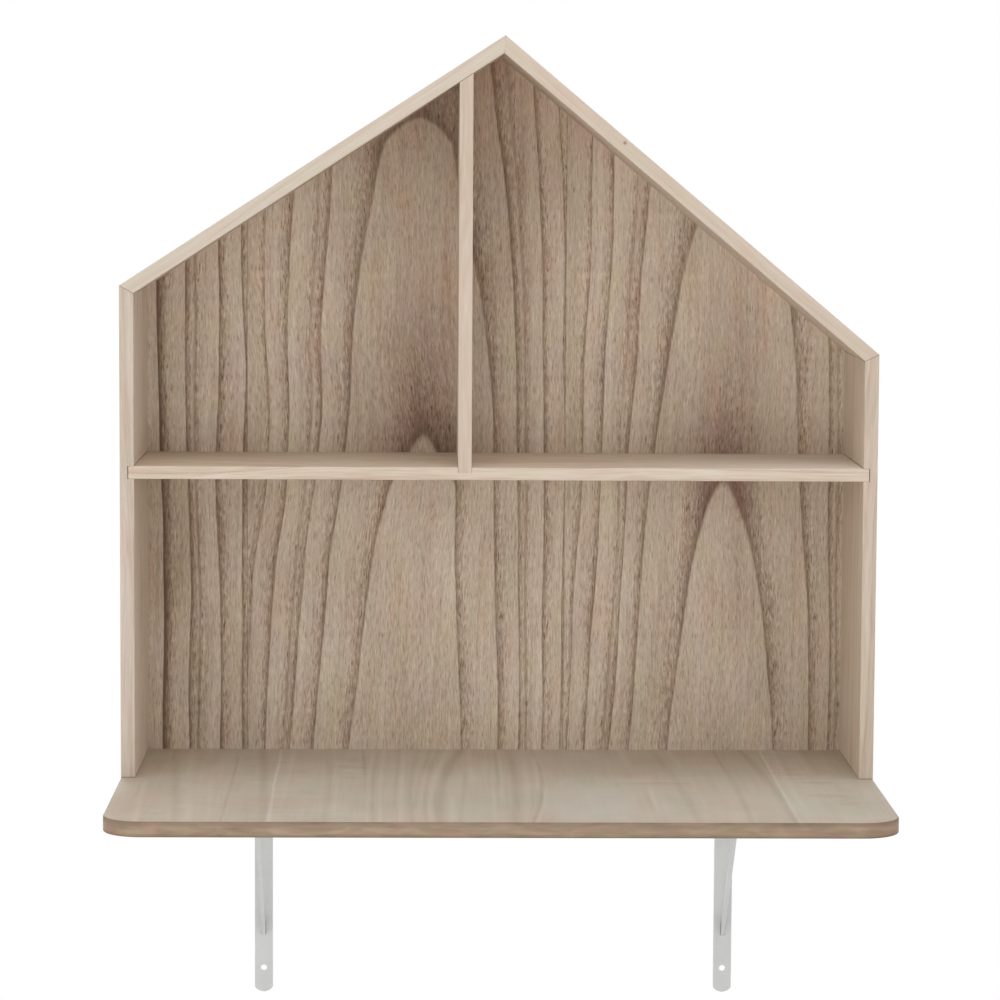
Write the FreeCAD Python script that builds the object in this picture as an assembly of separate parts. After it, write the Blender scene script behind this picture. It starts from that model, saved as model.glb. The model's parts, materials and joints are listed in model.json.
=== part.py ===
import FreeCAD, Part
import os

Vector = FreeCAD.Vector

# House-shaped wall shelf on a desk board, carried by two steel brackets. Millimetres.
# The origin is on the wall, in the middle of the four wall holes of the brackets.
# +X is to the right as one faces the shelf, +Y goes into the wall, +Z is up.

# House frame, heights measured from the top of the desk
width = 800.0
board_thickness = 15.0
clear_depth = 190.0
left_eave_height = 522.0
right_eave_height = 453.0
ridge_height = 785.0
ridge_offset = 4.0
frame_ease = 0.8

# Shelf, divider and back panel
shelf_height = 332.0
shelf_thickness = 13.5
divider_offset = -36.5
divider_thickness = 14.5
housing_depth = 6.0
panel_thickness = 5.0
rebate_width = 8.0

# Desk board
desk_thickness = 16.0
desk_reach = 255.0
desk_corner_radius = 40.0
desk_ease = 1.5

# Brackets: the arm lies under the desk, the leg hangs down the wall
bracket_spacing = 514.0
strap_width = 20.0
strap_thickness = 3.0
strap_bend_radius = 2.0
strap_end_radius = 12.0
arm_length = 300.0
wall_hole_radius = 3.5
upper_hole_drop = 40.0
wall_hole_spacing = 192.0
lower_hole_margin = 27.0
brace_thickness = 4.0
brace_depth = 12.0
brace_foot_drop = 195.0
brace_reach = 210.0
tab_shoulder = 2.0
peened_depth = 1.0

# Loose tongues in the mitres
spline_thickness = 4.0
spline_width = 12.0
spline_stop = 20.0
spline_place = 0.4

# Dowels
foot_dowel_radius = 4.0
foot_dowel_in_desk = 9.0
foot_dowel_in_side = 20.0
divider_dowel_radius = 3.0
divider_dowel_in_roof = 8.0
divider_dowel_in_divider = 16.0
divider_dowel_inset = 45.0

# Screws: shank and head radii, length and places
foot_screw_radius = 2.0
foot_screw_head = 4.0
foot_screw_length = 45.0
foot_screw_inset = 30.0
panel_screw_radius = 1.25
panel_screw_head = 2.7
panel_screw_length = 16.0
panel_screw_spacing = 120.0
panel_screw_margin = 40.0
panel_screw_sink = 0.2
bracket_screw_radius = 2.0
bracket_screw_head = 4.0
bracket_screw_head_height = 2.6
bracket_screw_length = 15.0
bracket_screw_places = (45.0, 125.0, 270.0)

# Clearances
sliding_gap = 0.1
housing_end_gap = 0.8
panel_edge_gap = 0.5
glue_line = 0.3
slot_gap = 0.5
dowel_end_gap = 1.0
screw_hole_gap = 0.25
cut_past = 1.0

# Levels and planes worked out from the sizes above
desk_under = upper_hole_drop + wall_hole_spacing / 2
desk_top = desk_under + desk_thickness
shelf_top = desk_top + shelf_height
shelf_under = shelf_top - shelf_thickness
wall = 0.0
panel_face = wall - panel_thickness
frame_front = panel_face - clear_depth
desk_front = frame_front - desk_reach
strap_face = wall - strap_thickness
arm_under = desk_under - strap_thickness
leg_length = upper_hole_drop + wall_hole_spacing + lower_hole_margin
UP = Vector(0, 0, 1)
FORWARD = Vector(0, -1, 0)


def crossing(a, b, c, d):
    """Where line a-b meets line c-d, both in one upright plane across the house."""
    u = b - a
    v = d - c
    along = ((c.x - a.x) * v.z - (c.z - a.z) * v.x) / (u.x * v.z - u.z * v.x)
    return a + u * along


def inset(outline, distance):
    """The house outline, foot to foot over the ridge, moved inwards by a distance."""
    runs = []
    for start, end in zip(outline, outline[1:]):
        inward = Vector(end.z - start.z, 0, start.x - end.x).normalize() * distance
        runs.append((start + inward, end + inward))
    corners = [crossing(*first, *second) for first, second in zip(runs, runs[1:])]
    return [runs[0][0]] + corners + [runs[-1][1]]


def plate(corners, y_from, y_to):
    """A flat shape seen from the front, with its thickness along Y."""
    ring = [Vector(p.x, y_from, p.z) for p in corners]
    face = Part.Face(Part.makePolygon(ring + ring[:1]))
    return face.extrude(Vector(0, y_to - y_from, 0))


def block(low, high):
    size = high - low
    return Part.makeBox(size.x, size.y, size.z, low)


def turned(profile):
    """A round piece on the Z axis from (radius, height) points."""
    ring = [Vector(radius, 0, height) for radius, height in profile]
    face = Part.Face(Part.makePolygon(ring + ring[:1]))
    return face.revolve(Vector(0, 0, 0), UP, 360)


def set_at(shape, point, direction):
    """A copy with its Z axis turned to a direction and its origin at a point."""
    turn = FreeCAD.Rotation(UP, direction)
    placed = shape.copy()
    placed.Placement = FreeCAD.Placement(point, turn)
    return placed


def eased(shape, middles, radius):
    """Round the edges whose middles are given."""
    edges = [e for e in shape.Edges if any(e.CenterOfMass.isEqual(m, 0.01) for m in middles)]
    return shape.makeFillet(radius, edges)


def spread(start, end, spacing):
    """Evenly spaced points from start to end, about a spacing apart."""
    run = end - start
    gaps = max(1, round(run.Length / spacing))
    return [start + run * (i / gaps) for i in range(gaps + 1)]


def cut_all(shape, tools):
    return shape.cut(Part.makeCompound(tools)) if tools else shape


def save(node, *solids):
    shape = solids[0] if len(solids) == 1 else Part.makeCompound(list(solids))
    shape.exportStep("parts/" + node + ".step")


# Countersunk wood screw, driven along +Z from the plane of its head
def countersunk_screw(length, shank, head):
    cone = head - shank
    body = turned([(0, 0), (head, 0), (shank, cone), (shank, length - 2 * shank), (0, length)])
    arm = head * 0.62
    wing = head * 0.14
    cross = [
        block(Vector(-arm, -wing, -cut_past), Vector(arm, wing, cone)),
        block(Vector(-wing, -arm, -cut_past), Vector(wing, arm, cone)),
    ]
    return cut_all(body, cross)


def countersunk_hole(length, shank, head, sink):
    cone = head - shank
    wide = head + sliding_gap
    narrow = shank + sliding_gap
    outside = -sink - cut_past
    tip = length + sliding_gap
    return turned([(0, outside), (wide, outside), (wide, 0), (narrow, cone), (narrow, tip), (0, tip)])


# Pan-head wood screw: the head hangs below Z = 0, the shank goes up
def pan_screw():
    rim = bracket_screw_head_height * 0.4
    head = bracket_screw_head
    height = bracket_screw_head_height
    shank = bracket_screw_radius
    length = bracket_screw_length
    body = turned([
        (0, -height), (head * 0.55, -height), (head * 0.9, -rim * 1.5), (head, -rim), (head, 0),
        (shank, 0), (shank, length - 2 * shank), (0, length),
    ])
    arm = head * 0.55
    wing = head * 0.13
    deep = -height * 0.4
    cross = [
        block(Vector(-arm, -wing, -height - cut_past), Vector(arm, wing, deep)),
        block(Vector(-wing, -arm, -height - cut_past), Vector(wing, arm, deep)),
    ]
    return cut_all(body, cross)


def dowel(radius, length):
    chamfer = radius * 0.2
    return turned([
        (0, 0), (radius - chamfer, 0), (radius, chamfer),
        (radius, length - chamfer), (radius - chamfer, length), (0, length),
    ])


def bore(radius, length):
    return turned([(0, 0), (radius, 0), (radius, length), (0, length)])


# Outline of the house from its left foot over the ridge to its right foot
outer = [
    Vector(-width / 2, 0, desk_top),
    Vector(-width / 2, 0, desk_top + left_eave_height),
    Vector(ridge_offset, 0, desk_top + ridge_height),
    Vector(width / 2, 0, desk_top + right_eave_height),
    Vector(width / 2, 0, desk_top),
]
inner = inset(outer, board_thickness)
board_names = ("left_side_panel", "left_roof_panel", "right_roof_panel", "right_side_panel")
ease = min(frame_ease, board_thickness * 0.3)


def frame_board(k):
    """Board k of the frame, mitred at its ends, with its front arrises eased."""
    shape = plate([outer[k], outer[k + 1], inner[k + 1], inner[k]], frame_front, wall)
    middles = []
    for line in (outer, inner):
        middle = (line[k] + line[k + 1]) * 0.5
        middles.append(Vector(middle.x, frame_front, middle.z))
    return eased(shape, middles, ease)


boards = {name: frame_board(k) for k, name in enumerate(board_names)}

# Rebate for the back panel, and the panel in it, standing on the desk
rebate_line = inset(outer, board_thickness - rebate_width)
rebate = plate(rebate_line, panel_face, wall + cut_past)
panel_line = inset(outer, board_thickness - rebate_width + panel_edge_gap)
back_panel = plate(panel_line, panel_face, wall)

# Shelf, its ends let into the sides
side_inner = width / 2 - board_thickness
shelf_end = side_inner + housing_depth
shelf_board = block(
    Vector(-shelf_end, frame_front, shelf_under),
    Vector(shelf_end, panel_face, shelf_top),
)
shelf_board = eased(
    shelf_board,
    [Vector(0, frame_front, shelf_under), Vector(0, frame_front, shelf_top)],
    min(frame_ease, shelf_thickness * 0.3),
)
housing_end = shelf_end + housing_end_gap
shelf_housing = block(
    Vector(-housing_end, frame_front - cut_past, shelf_under),
    Vector(housing_end, panel_face, shelf_top + sliding_gap),
)

# Divider, let into the shelf and cut to the slope of the roof above it
divider_left = divider_offset - divider_thickness / 2
divider_right = divider_offset + divider_thickness / 2
divider_foot = shelf_top - housing_depth


def under_roof(x):
    """Height of the roof's underside at a place across the house."""
    k = 1 if x < inner[2].x else 2
    column = Vector(x, 0, 0)
    return crossing(inner[k], inner[k + 1], column, column + UP)


divider_corners = [Vector(divider_left, 0, divider_foot), under_roof(divider_left) - UP * glue_line]
if divider_left < inner[2].x < divider_right:
    divider_corners.append(inner[2] - UP * glue_line)
divider_corners += [under_roof(divider_right) - UP * glue_line, Vector(divider_right, 0, divider_foot)]
divider_board = plate(divider_corners, frame_front, panel_face)
divider_middles = [
    Vector(a.x, frame_front, (a.z + b.z) / 2)
    for a, b in (divider_corners[:2], divider_corners[-2:])
]
divider_board = eased(divider_board, divider_middles, min(frame_ease, divider_thickness * 0.3))
divider_housing = block(
    Vector(divider_left - sliding_gap, frame_front - cut_past, divider_foot),
    Vector(divider_right + sliding_gap, panel_face + cut_past, shelf_top + cut_past),
)


# Desk board with two rounded front corners and eased arrises
def desk_blank():
    half = width / 2
    r = desk_corner_radius
    turn = r * (1 - 0.5 ** 0.5)
    left_back = Vector(-half, wall, desk_under)
    left_front = Vector(-half, desk_front + r, desk_under)
    front_left = Vector(-half + r, desk_front, desk_under)
    front_right = Vector(half - r, desk_front, desk_under)
    right_front = Vector(half, desk_front + r, desk_under)
    right_back = Vector(half, wall, desk_under)
    left_arc = Vector(-half + turn, desk_front + turn, desk_under)
    right_arc = Vector(half - turn, desk_front + turn, desk_under)
    rim = Part.Wire([
        Part.LineSegment(left_back, left_front).toShape(),
        Part.Arc(left_front, left_arc, front_left).toShape(),
        Part.LineSegment(front_left, front_right).toShape(),
        Part.Arc(front_right, right_arc, right_front).toShape(),
        Part.LineSegment(right_front, right_back).toShape(),
        Part.LineSegment(right_back, left_back).toShape(),
    ])
    blank = Part.Face(rim).extrude(UP * desk_thickness)
    level = (desk_under, desk_top)
    arrises = [
        e for e in blank.Edges
        if e.BoundBox.ZLength < 0.01 and e.CenterOfMass.y < wall - 0.01 and e.CenterOfMass.z in level
    ]
    return blank.makeFillet(min(desk_ease, desk_thickness * 0.3), arrises)


desk_board = desk_blank()

# Loose tongues across the three mitres, stopped short of the front and of the back panel
splines = []
for k, name in ((1, "left_eave_spline"), (2, "ridge_spline"), (3, "right_eave_spline")):
    mitre = (outer[k] - inner[k]).normalize()
    across = Vector(mitre.z, 0, -mitre.x)
    middle = inner[k] + (outer[k] - inner[k]) * spline_place

    def tongue(gap):
        half_thick = mitre * (spline_thickness / 2 + gap)
        half_wide = across * (spline_width / 2 + gap)
        corners = [
            middle + half_thick + half_wide, middle + half_thick - half_wide,
            middle - half_thick - half_wide, middle - half_thick + half_wide,
        ]
        return plate(corners, frame_front + spline_stop - gap, panel_face - spline_stop + gap)

    splines.append((name, tongue(0)))
    groove = tongue(sliding_gap)
    for neighbour in (board_names[k - 1], board_names[k]):
        boards[neighbour] = boards[neighbour].cut(groove)

# Feet of the sides: screws near the ends, dowels between them
foot_screw = countersunk_screw(foot_screw_length, foot_screw_radius, foot_screw_head)
foot_screw_hole = countersunk_hole(foot_screw_length, foot_screw_radius, foot_screw_head, 0)
foot_dowel = dowel(foot_dowel_radius, foot_dowel_in_desk + foot_dowel_in_side)
foot_dowel_hole = bore(
    foot_dowel_radius + sliding_gap,
    foot_dowel_in_desk + foot_dowel_in_side + 2 * dowel_end_gap,
)
foot_first = frame_front + foot_screw_inset
foot_last = panel_face - foot_screw_inset
foot_step = (foot_last - foot_first) / 3
foot_pieces = []
foot_holes = []
for side, x in (("left", -width / 2 + board_thickness / 2), ("right", width / 2 - board_thickness / 2)):
    screw_places = [Vector(x, y, desk_under) for y in (foot_first, foot_last)]
    dowel_places = [
        Vector(x, y, desk_top - foot_dowel_in_desk) for y in (foot_first + foot_step, foot_last - foot_step)
    ]
    foot_pieces.append((side + "_foot_screws", [set_at(foot_screw, p, UP) for p in screw_places]))
    foot_pieces.append((side + "_foot_dowels", [set_at(foot_dowel, p, UP) for p in dowel_places]))
    foot_holes += [set_at(foot_screw_hole, p, UP) for p in screw_places]
    foot_holes += [set_at(foot_dowel_hole, p - UP * dowel_end_gap, UP) for p in dowel_places]

# Dowels from the roof down into the divider's top
divider_peak = under_roof(divider_offset)
divider_dowel = dowel(divider_dowel_radius, divider_dowel_in_roof + divider_dowel_in_divider)
divider_dowel_hole = bore(
    divider_dowel_radius + sliding_gap,
    divider_dowel_in_roof + divider_dowel_in_divider + 2 * dowel_end_gap,
)
divider_dowel_places = [
    Vector(divider_offset, y, divider_peak.z - divider_dowel_in_divider)
    for y in (frame_front + divider_dowel_inset, panel_face - divider_dowel_inset)
]
divider_dowels = [set_at(divider_dowel, p, UP) for p in divider_dowel_places]
divider_dowel_holes = [set_at(divider_dowel_hole, p - UP * dowel_end_gap, UP) for p in divider_dowel_places]

# Screws through the back panel: along the rebates, the shelf and the divider
screw_line = inset(outer, board_thickness - rebate_width / 2)
screw_runs = list(zip(screw_line, screw_line[1:]))
shelf_middle = (shelf_top + shelf_under) / 2
screw_runs.append((Vector(-side_inner, 0, shelf_middle), Vector(side_inner, 0, shelf_middle)))
screw_runs.append((Vector(divider_offset, 0, shelf_top), divider_peak))
panel_screw = countersunk_screw(panel_screw_length, panel_screw_radius, panel_screw_head)
panel_screw_hole = countersunk_hole(
    panel_screw_length, panel_screw_radius, panel_screw_head, panel_screw_sink
)
panel_screws = []
panel_screw_holes = []
for start, end in screw_runs:
    margin = (end - start).normalize() * panel_screw_margin
    for place in spread(start + margin, end - margin, panel_screw_spacing):
        head = Vector(place.x, wall - panel_screw_sink, place.z)
        panel_screws.append(set_at(panel_screw, head, FORWARD))
        panel_screw_holes.append(set_at(panel_screw_hole, head, FORWARD))


# Bracket on the plane X = 0: strap bent to an L, and the brace tabbed into it
def side_plate(points, thickness):
    """A flat shape seen from the side, centred on X = 0, from (y, z) points."""
    ring = [Vector(-thickness / 2, y, z) for y, z in points]
    face = Part.Face(Part.makePolygon(ring + ring[:1]))
    return face.extrude(Vector(thickness, 0, 0))


def rounded_end(tip, direction, thickness_way):
    """What is cut off a strap's square end to leave a shallow arc."""
    half = strap_width / 2
    r = max(strap_end_radius, half)
    sag = r - (r * r - half * half) ** 0.5
    corner = tip - direction * sag
    low = Vector(-half - cut_past, min(corner.y, tip.y), min(corner.z, tip.z))
    high = Vector(half + cut_past, max(corner.y, tip.y), max(corner.z, tip.z))
    deep = thickness_way * (strap_thickness + cut_past)
    start = low - thickness_way * cut_past
    waste = block(start, high + deep)
    disc = Part.makeCylinder(
        r, strap_thickness + 3 * cut_past, tip - direction * r - thickness_way * cut_past, thickness_way
    )
    return waste.cut(disc)


brace_foot = Vector(0, strap_face, desk_under - brace_foot_drop)
brace_head = Vector(0, wall - brace_reach, arm_under)
brace_run = (brace_head - brace_foot).normalize()
# The brace's back edge lies this far up the leg and this far in along the arm
brace_up_leg = brace_depth / abs(brace_run.y)
brace_in_arm = brace_depth / brace_run.z


def tab_box(gap, half_thickness, y_from, y_to, z_from, z_to):
    return block(
        Vector(-half_thickness - gap, y_from, z_from),
        Vector(half_thickness + gap, y_to, z_to),
    )


def strap():
    leg_end = desk_under - leg_length
    arm_end = wall - arm_length
    shape = side_plate(
        [
            (wall, desk_under), (arm_end, desk_under), (arm_end, arm_under),
            (strap_face, arm_under), (strap_face, leg_end), (wall, leg_end),
        ],
        strap_width,
    )
    inside = Vector(0, strap_face, arm_under)
    outside = Vector(0, wall, desk_under)
    shape = eased(shape, [inside], strap_bend_radius)
    shape = eased(shape, [outside], strap_bend_radius + strap_thickness)
    shape = shape.cut(rounded_end(Vector(0, strap_face, leg_end), -UP, Vector(0, 1, 0)))
    shape = shape.cut(rounded_end(Vector(0, arm_end, arm_under), FORWARD, UP))
    half = brace_thickness / 2
    past = cut_past
    foot_low = brace_foot.z + tab_shoulder - slot_gap
    foot_high = brace_foot.z + brace_up_leg - tab_shoulder + slot_gap
    head_front = brace_head.y + tab_shoulder - slot_gap
    head_back = brace_head.y + brace_in_arm - tab_shoulder + slot_gap
    cuts = [
        tab_box(slot_gap, half, strap_face - past, wall + past, foot_low, foot_high),
        tab_box(slot_gap, half, head_front, head_back, arm_under - past, desk_under + past),
    ]
    wall_bore = bore(wall_hole_radius, strap_thickness + 2 * past)
    for z in (wall_hole_spacing / 2, -wall_hole_spacing / 2):
        cuts.append(set_at(wall_bore, Vector(0, wall + past, z), FORWARD))
    screw_bore = bore(bracket_screw_radius + screw_hole_gap, strap_thickness + 2 * past)
    for reach in bracket_screw_places:
        cuts.append(set_at(screw_bore, Vector(0, wall - reach, arm_under - past), UP))
    return cut_all(shape, cuts)


def brace():
    """Flat bar on edge; its tabs fill the slots at the far face, where they are peened over."""
    half = brace_thickness / 2
    foot_low = brace_foot.z + tab_shoulder
    foot_high = brace_foot.z + brace_up_leg - tab_shoulder
    head_front = brace_head.y + tab_shoulder
    head_back = brace_head.y + brace_in_arm - tab_shoulder
    bar = side_plate(
        [
            (brace_foot.y, brace_foot.z), (brace_head.y, brace_head.z),
            (brace_head.y + brace_in_arm, brace_head.z), (brace_foot.y, brace_foot.z + brace_up_leg),
        ],
        brace_thickness,
    )
    peen = slot_gap
    foot_peen = wall - peened_depth
    head_peen = desk_under - peened_depth
    return bar.multiFuse([
        tab_box(0, half, strap_face, wall, foot_low, foot_high),
        tab_box(peen, half, foot_peen, wall, foot_low - peen, foot_high + peen),
        tab_box(0, half, head_front, head_back, arm_under, desk_under),
        tab_box(peen, half, head_front - peen, head_back + peen, head_peen, desk_under),
    ]).removeSplitter()


bracket_strap = strap()
bracket_brace = brace()
bracket_screw = pan_screw()
desk_pilot = bore(bracket_screw_radius + sliding_gap, bracket_screw_length - strap_thickness + sliding_gap)
bracket_pieces = []
desk_pilots = []
for side, x in (("left", -bracket_spacing / 2), ("right", bracket_spacing / 2)):
    shift = Vector(x, 0, 0)
    screw_places = [Vector(x, wall - reach, arm_under) for reach in bracket_screw_places]
    bracket_pieces.append((side + "_bracket_strap", [bracket_strap.translated(shift)]))
    bracket_pieces.append((side + "_bracket_brace", [bracket_brace.translated(shift)]))
    bracket_pieces.append((side + "_bracket_screws", [set_at(bracket_screw, p, UP) for p in screw_places]))
    desk_pilots += [set_at(desk_pilot, Vector(p.x, p.y, desk_under), UP) for p in screw_places]

# Grooves, rebates and holes in the boards
for name in board_names:
    boards[name] = boards[name].cut(rebate)
for name in ("left_side_panel", "right_side_panel"):
    boards[name] = cut_all(boards[name], [shelf_housing] + foot_holes)
for name in ("left_roof_panel", "right_roof_panel"):
    boards[name] = cut_all(boards[name], divider_dowel_holes)
for name in board_names:
    boards[name] = cut_all(boards[name], panel_screw_holes)
shelf_board = cut_all(shelf_board, [divider_housing] + panel_screw_holes)
divider_board = cut_all(divider_board, divider_dowel_holes + panel_screw_holes)
back_panel = cut_all(back_panel, panel_screw_holes)
desk_board = cut_all(desk_board, foot_holes + desk_pilots)

os.makedirs("parts", exist_ok=True)
for name, shape in boards.items():
    save(name, shape)
save("shelf_board", shelf_board)
save("divider_board", divider_board)
save("back_panel", back_panel)
save("desk_board", desk_board)
for name, shape in splines:
    save(name, shape)
for name, solids in foot_pieces + bracket_pieces:
    save(name, *solids)
save("divider_dowels", *divider_dowels)
save("back_panel_screws", *panel_screws)
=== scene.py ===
import json
import math

import bmesh
import bpy
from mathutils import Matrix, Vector


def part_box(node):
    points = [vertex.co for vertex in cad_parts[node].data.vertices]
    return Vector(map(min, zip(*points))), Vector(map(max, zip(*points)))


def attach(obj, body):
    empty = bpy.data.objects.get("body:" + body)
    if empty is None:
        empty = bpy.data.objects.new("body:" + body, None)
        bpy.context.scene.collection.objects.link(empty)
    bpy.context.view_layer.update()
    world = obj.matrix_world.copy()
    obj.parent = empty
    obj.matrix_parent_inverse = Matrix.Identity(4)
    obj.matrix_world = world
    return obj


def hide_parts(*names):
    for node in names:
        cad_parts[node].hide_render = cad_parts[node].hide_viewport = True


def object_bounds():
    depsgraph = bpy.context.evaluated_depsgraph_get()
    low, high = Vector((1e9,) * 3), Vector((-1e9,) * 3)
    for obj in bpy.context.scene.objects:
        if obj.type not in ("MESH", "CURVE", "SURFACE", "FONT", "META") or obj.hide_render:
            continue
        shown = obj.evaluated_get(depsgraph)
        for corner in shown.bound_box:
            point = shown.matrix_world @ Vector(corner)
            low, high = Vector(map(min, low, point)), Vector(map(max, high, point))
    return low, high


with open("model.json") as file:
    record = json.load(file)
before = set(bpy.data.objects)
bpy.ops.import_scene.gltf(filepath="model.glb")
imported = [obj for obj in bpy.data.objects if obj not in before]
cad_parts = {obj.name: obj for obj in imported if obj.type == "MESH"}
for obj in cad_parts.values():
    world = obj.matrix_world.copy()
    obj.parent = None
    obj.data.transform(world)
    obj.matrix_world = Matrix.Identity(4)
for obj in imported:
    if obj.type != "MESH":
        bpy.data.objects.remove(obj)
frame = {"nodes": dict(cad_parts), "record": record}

cad_low, cad_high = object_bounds()
nodes = frame["nodes"]

# Kinds of shader node
BSDF = "ShaderNodeBsdfPrincipled"
BUMP = "ShaderNodeBump"
COORDINATES = "ShaderNodeTexCoord"
JOIN = "ShaderNodeCombineXYZ"
MAPPING = "ShaderNodeMapping"
MATH = "ShaderNodeMath"
MIX = "ShaderNodeMix"
NOISE = "ShaderNodeTexNoise"
OUTPUT = "ShaderNodeOutputMaterial"
RAMP = "ShaderNodeValToRGB"
RANGE = "ShaderNodeMapRange"
SPLIT = "ShaderNodeSeparateXYZ"
VECTOR = "ShaderNodeVectorMath"

# Sockets of a Mix node that mixes colours
MIX_A = 6
MIX_B = 7
MIX_RESULT = 2

# Millimetres in one metre, the unit of the frame
MILLIMETRES = 1000.0

# Width, front edge and levels of the boards in millimetres
SPAN = round((cad_high.x - cad_low.x) * MILLIMETRES)
FRONT = round(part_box("desk_board")[0].y * MILLIMETRES)
DESK_UNDER, DESK_TOP = [corner.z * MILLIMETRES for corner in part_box("desk_board")]
SHELF_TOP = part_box("shelf_board")[1].z * MILLIMETRES


def hex_color(code):
    """A colour written as sRGB hex, as linear red, green, blue and alpha."""
    channels = [int(code[start:start + 2], 16) / 255 for start in (1, 3, 5)]
    linear = [c / 12.92 if c <= 0.04045 else ((c + 0.055) / 1.055) ** 2.4 for c in channels]
    return (*linear, 1.0)


def add(tree, kind, inputs=None, out=0, stops=None, **settings):
    """Adds one node with its settings, links and colour stops, and returns one of its outputs."""
    node = tree.nodes.new(kind)
    for name, value in settings.items():
        setattr(node, name, value)
    for key, value in (inputs or {}).items():
        if isinstance(value, bpy.types.NodeSocket):
            tree.links.new(value, node.inputs[key])
        else:
            node.inputs[key].default_value = value
    if stops:
        elements = node.color_ramp.elements
        elements.remove(elements[1])
        for index, (position, color) in enumerate(stops):
            element = elements.new(position) if index else elements[0]
            element.position = position
            element.color = color if isinstance(color, tuple) else (color, color, color, 1.0)
    return node.outputs[out] if node.outputs else node


def blank_finish(name):
    """An empty material and its node tree."""
    material = bpy.data.materials.new(name)
    material.use_nodes = True
    material.node_tree.nodes.clear()
    return material, material.node_tree


def finish_surface(tree, color, roughness, height, bump_mm, **sockets):
    """Closes a material with its shader: colour, roughness and a bump of the given height."""
    normal = add(tree, BUMP, {"Height": height, "Strength": 1.0, "Distance": bump_mm / MILLIMETRES})
    inputs = {"Base Color": color, "Roughness": roughness, "Normal": normal}
    inputs.update({name.replace("_", " "): value for name, value in sockets.items()})
    add(tree, OUTPUT, {"Surface": add(tree, BSDF, inputs)})


def coordinates_mm(tree):
    """The place on the object in millimetres."""
    place = add(tree, COORDINATES, out="Object")
    return add(tree, VECTOR, {0: place, "Scale": MILLIMETRES}, operation="SCALE")


def mottle(tree, place, size_mm, amount, seed=0.0, detail=2.0, distortion=0.0):
    """Patches of the given size along each axis, as a tone that varies round 1 by up to the amount."""
    cells = add(tree, VECTOR, {0: place, 1: tuple(1 / s for s in size_mm)}, operation="MULTIPLY")
    noise = add(tree, NOISE, {
        "Vector": cells, "W": seed, "Scale": 1.0, "Detail": detail, "Distortion": distortion,
    }, noise_dimensions="4D")
    return add(tree, MATH, {0: noise, 1: 2 * amount, 2: 1 - amount}, operation="MULTIPLY_ADD")


# Tones of the noise between which a stroke begins and is full
STROKE_TONES = (1.5, 1.68)


def dashes(tree, place, size_mm, seed, share):
    """Short strokes of the given size, 1 on a stroke and 0 between; a low share leaves few of them."""
    noise = mottle(tree, place, size_mm, 1.0, seed, detail=1.0)
    begins, full = STROKE_TONES
    return add(tree, RANGE, {0: noise, 1: begins - share, 2: full - share, 3: 0.0, 4: 1.0})


def product(tree, tones):
    """All tones multiplied together."""
    result = tones[0]
    for tone in tones[1:]:
        result = add(tree, MATH, {0: result, 1: tone}, operation="MULTIPLY")
    return result


def shade_color(tree, tone, shades):
    """Colour of a surface from its tone: each shade is a tone and the colour it has."""
    low = shades[0][0]
    high = shades[-1][0]
    share = add(tree, RANGE, {0: tone, 1: low, 2: high, 3: 0.0, 4: 1.0})
    stops = [((value - low) / (high - low), hex_color(code)) for value, code in shades]
    return add(tree, RAMP, {0: share}, stops=stops)


def tinted(tree, color, share, code):
    """The colour, multiplied by a tint where share is 1."""
    return add(tree, MIX, {0: share, MIX_A: color, MIX_B: hex_color(code)},
               out=MIX_RESULT, data_type="RGBA", blend_type="MULTIPLY")


# Tones of the noise between which a patch turns from its first tint to its last
HUE_TONES = (0.75, 1.25)


def hue_patches(tree, color, place, size_mm, seed, codes):
    """The colour with soft patches of the given size, tinted from the first code to the last."""
    patch = mottle(tree, place, size_mm, 0.5, seed, detail=1.0)
    first, final = HUE_TONES
    share = add(tree, RANGE, {0: patch, 1: first, 2: final, 3: 0.0, 4: 1.0})
    last = len(codes) - 1
    tint = add(tree, RAMP, {0: share}, stops=[(i / last, hex_color(code)) for i, code in enumerate(codes)])
    return add(tree, MIX, {0: 1.0, MIX_A: color, MIX_B: tint},
               out=MIX_RESULT, data_type="RGBA", blend_type="MULTIPLY")


def from_middle(tree, place, middle, size_mm):
    """Distance from the middle of an oval patch, 1 at its rim."""
    away = add(tree, VECTOR, {0: place, 1: middle}, operation="SUBTRACT")
    away = add(tree, VECTOR, {0: away, 1: tuple(1 / size for size in size_mm)}, operation="MULTIPLY")
    return add(tree, VECTOR, {0: away}, out="Value", operation="LENGTH")


def facing(tree, axis):
    """How squarely a face looks along an axis, from 0 to 1."""
    normal = add(tree, COORDINATES, out="Normal")
    normal = add(tree, SPLIT, {0: normal}).node.outputs[axis]
    return add(tree, MATH, {0: normal}, operation="ABSOLUTE")


# Veneer leaves of the back panel, in millimetres: where they meet, the middle heart, from heart to heart
VENEER_EDGES = (-275.0, 76.0)
LEAF_CENTRE = -101.5
LEAF_PITCH = 347.4
# How much lower the arches close on each leaf to the right
LEAF_RISE = 43.0
# The left leaf: how far its heart is moved, how much wider it is, and how slowly its arches close
LEFT_LEAF_SHIFT = -57.3
LEFT_LEAF_STRETCH = 1.27
LEFT_LEAF_CLOSING = 0.35
# The left leaf stands straighter at its foot: how far it is moved there, and up to which height
LEFT_FOOT_SHIFT = 9.0
LEFT_FOOT_END = 320.0
# The middle leaf's rings stand this much wider apart on its left, from this far off its heart
WIDE_FROM = 85.0
WIDER = 0.09
# An arch: powers of its width and of its height, and foot and height of the one that closes near the ridge
ARCH_POWER = 1.687
RISE_POWER = 1.215
ARCH_FOOT = 101.27
ARCH_RISE = 704.44
# How much less the height counts away from the heart, per square millimetre
ARCH_SPREAD = 0.83e-4
# Lean of the hearts to the right, and how it changes with each millimetre of height
LEAN = 0.043
LEAN_LOSS = -0.036e-3
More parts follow.
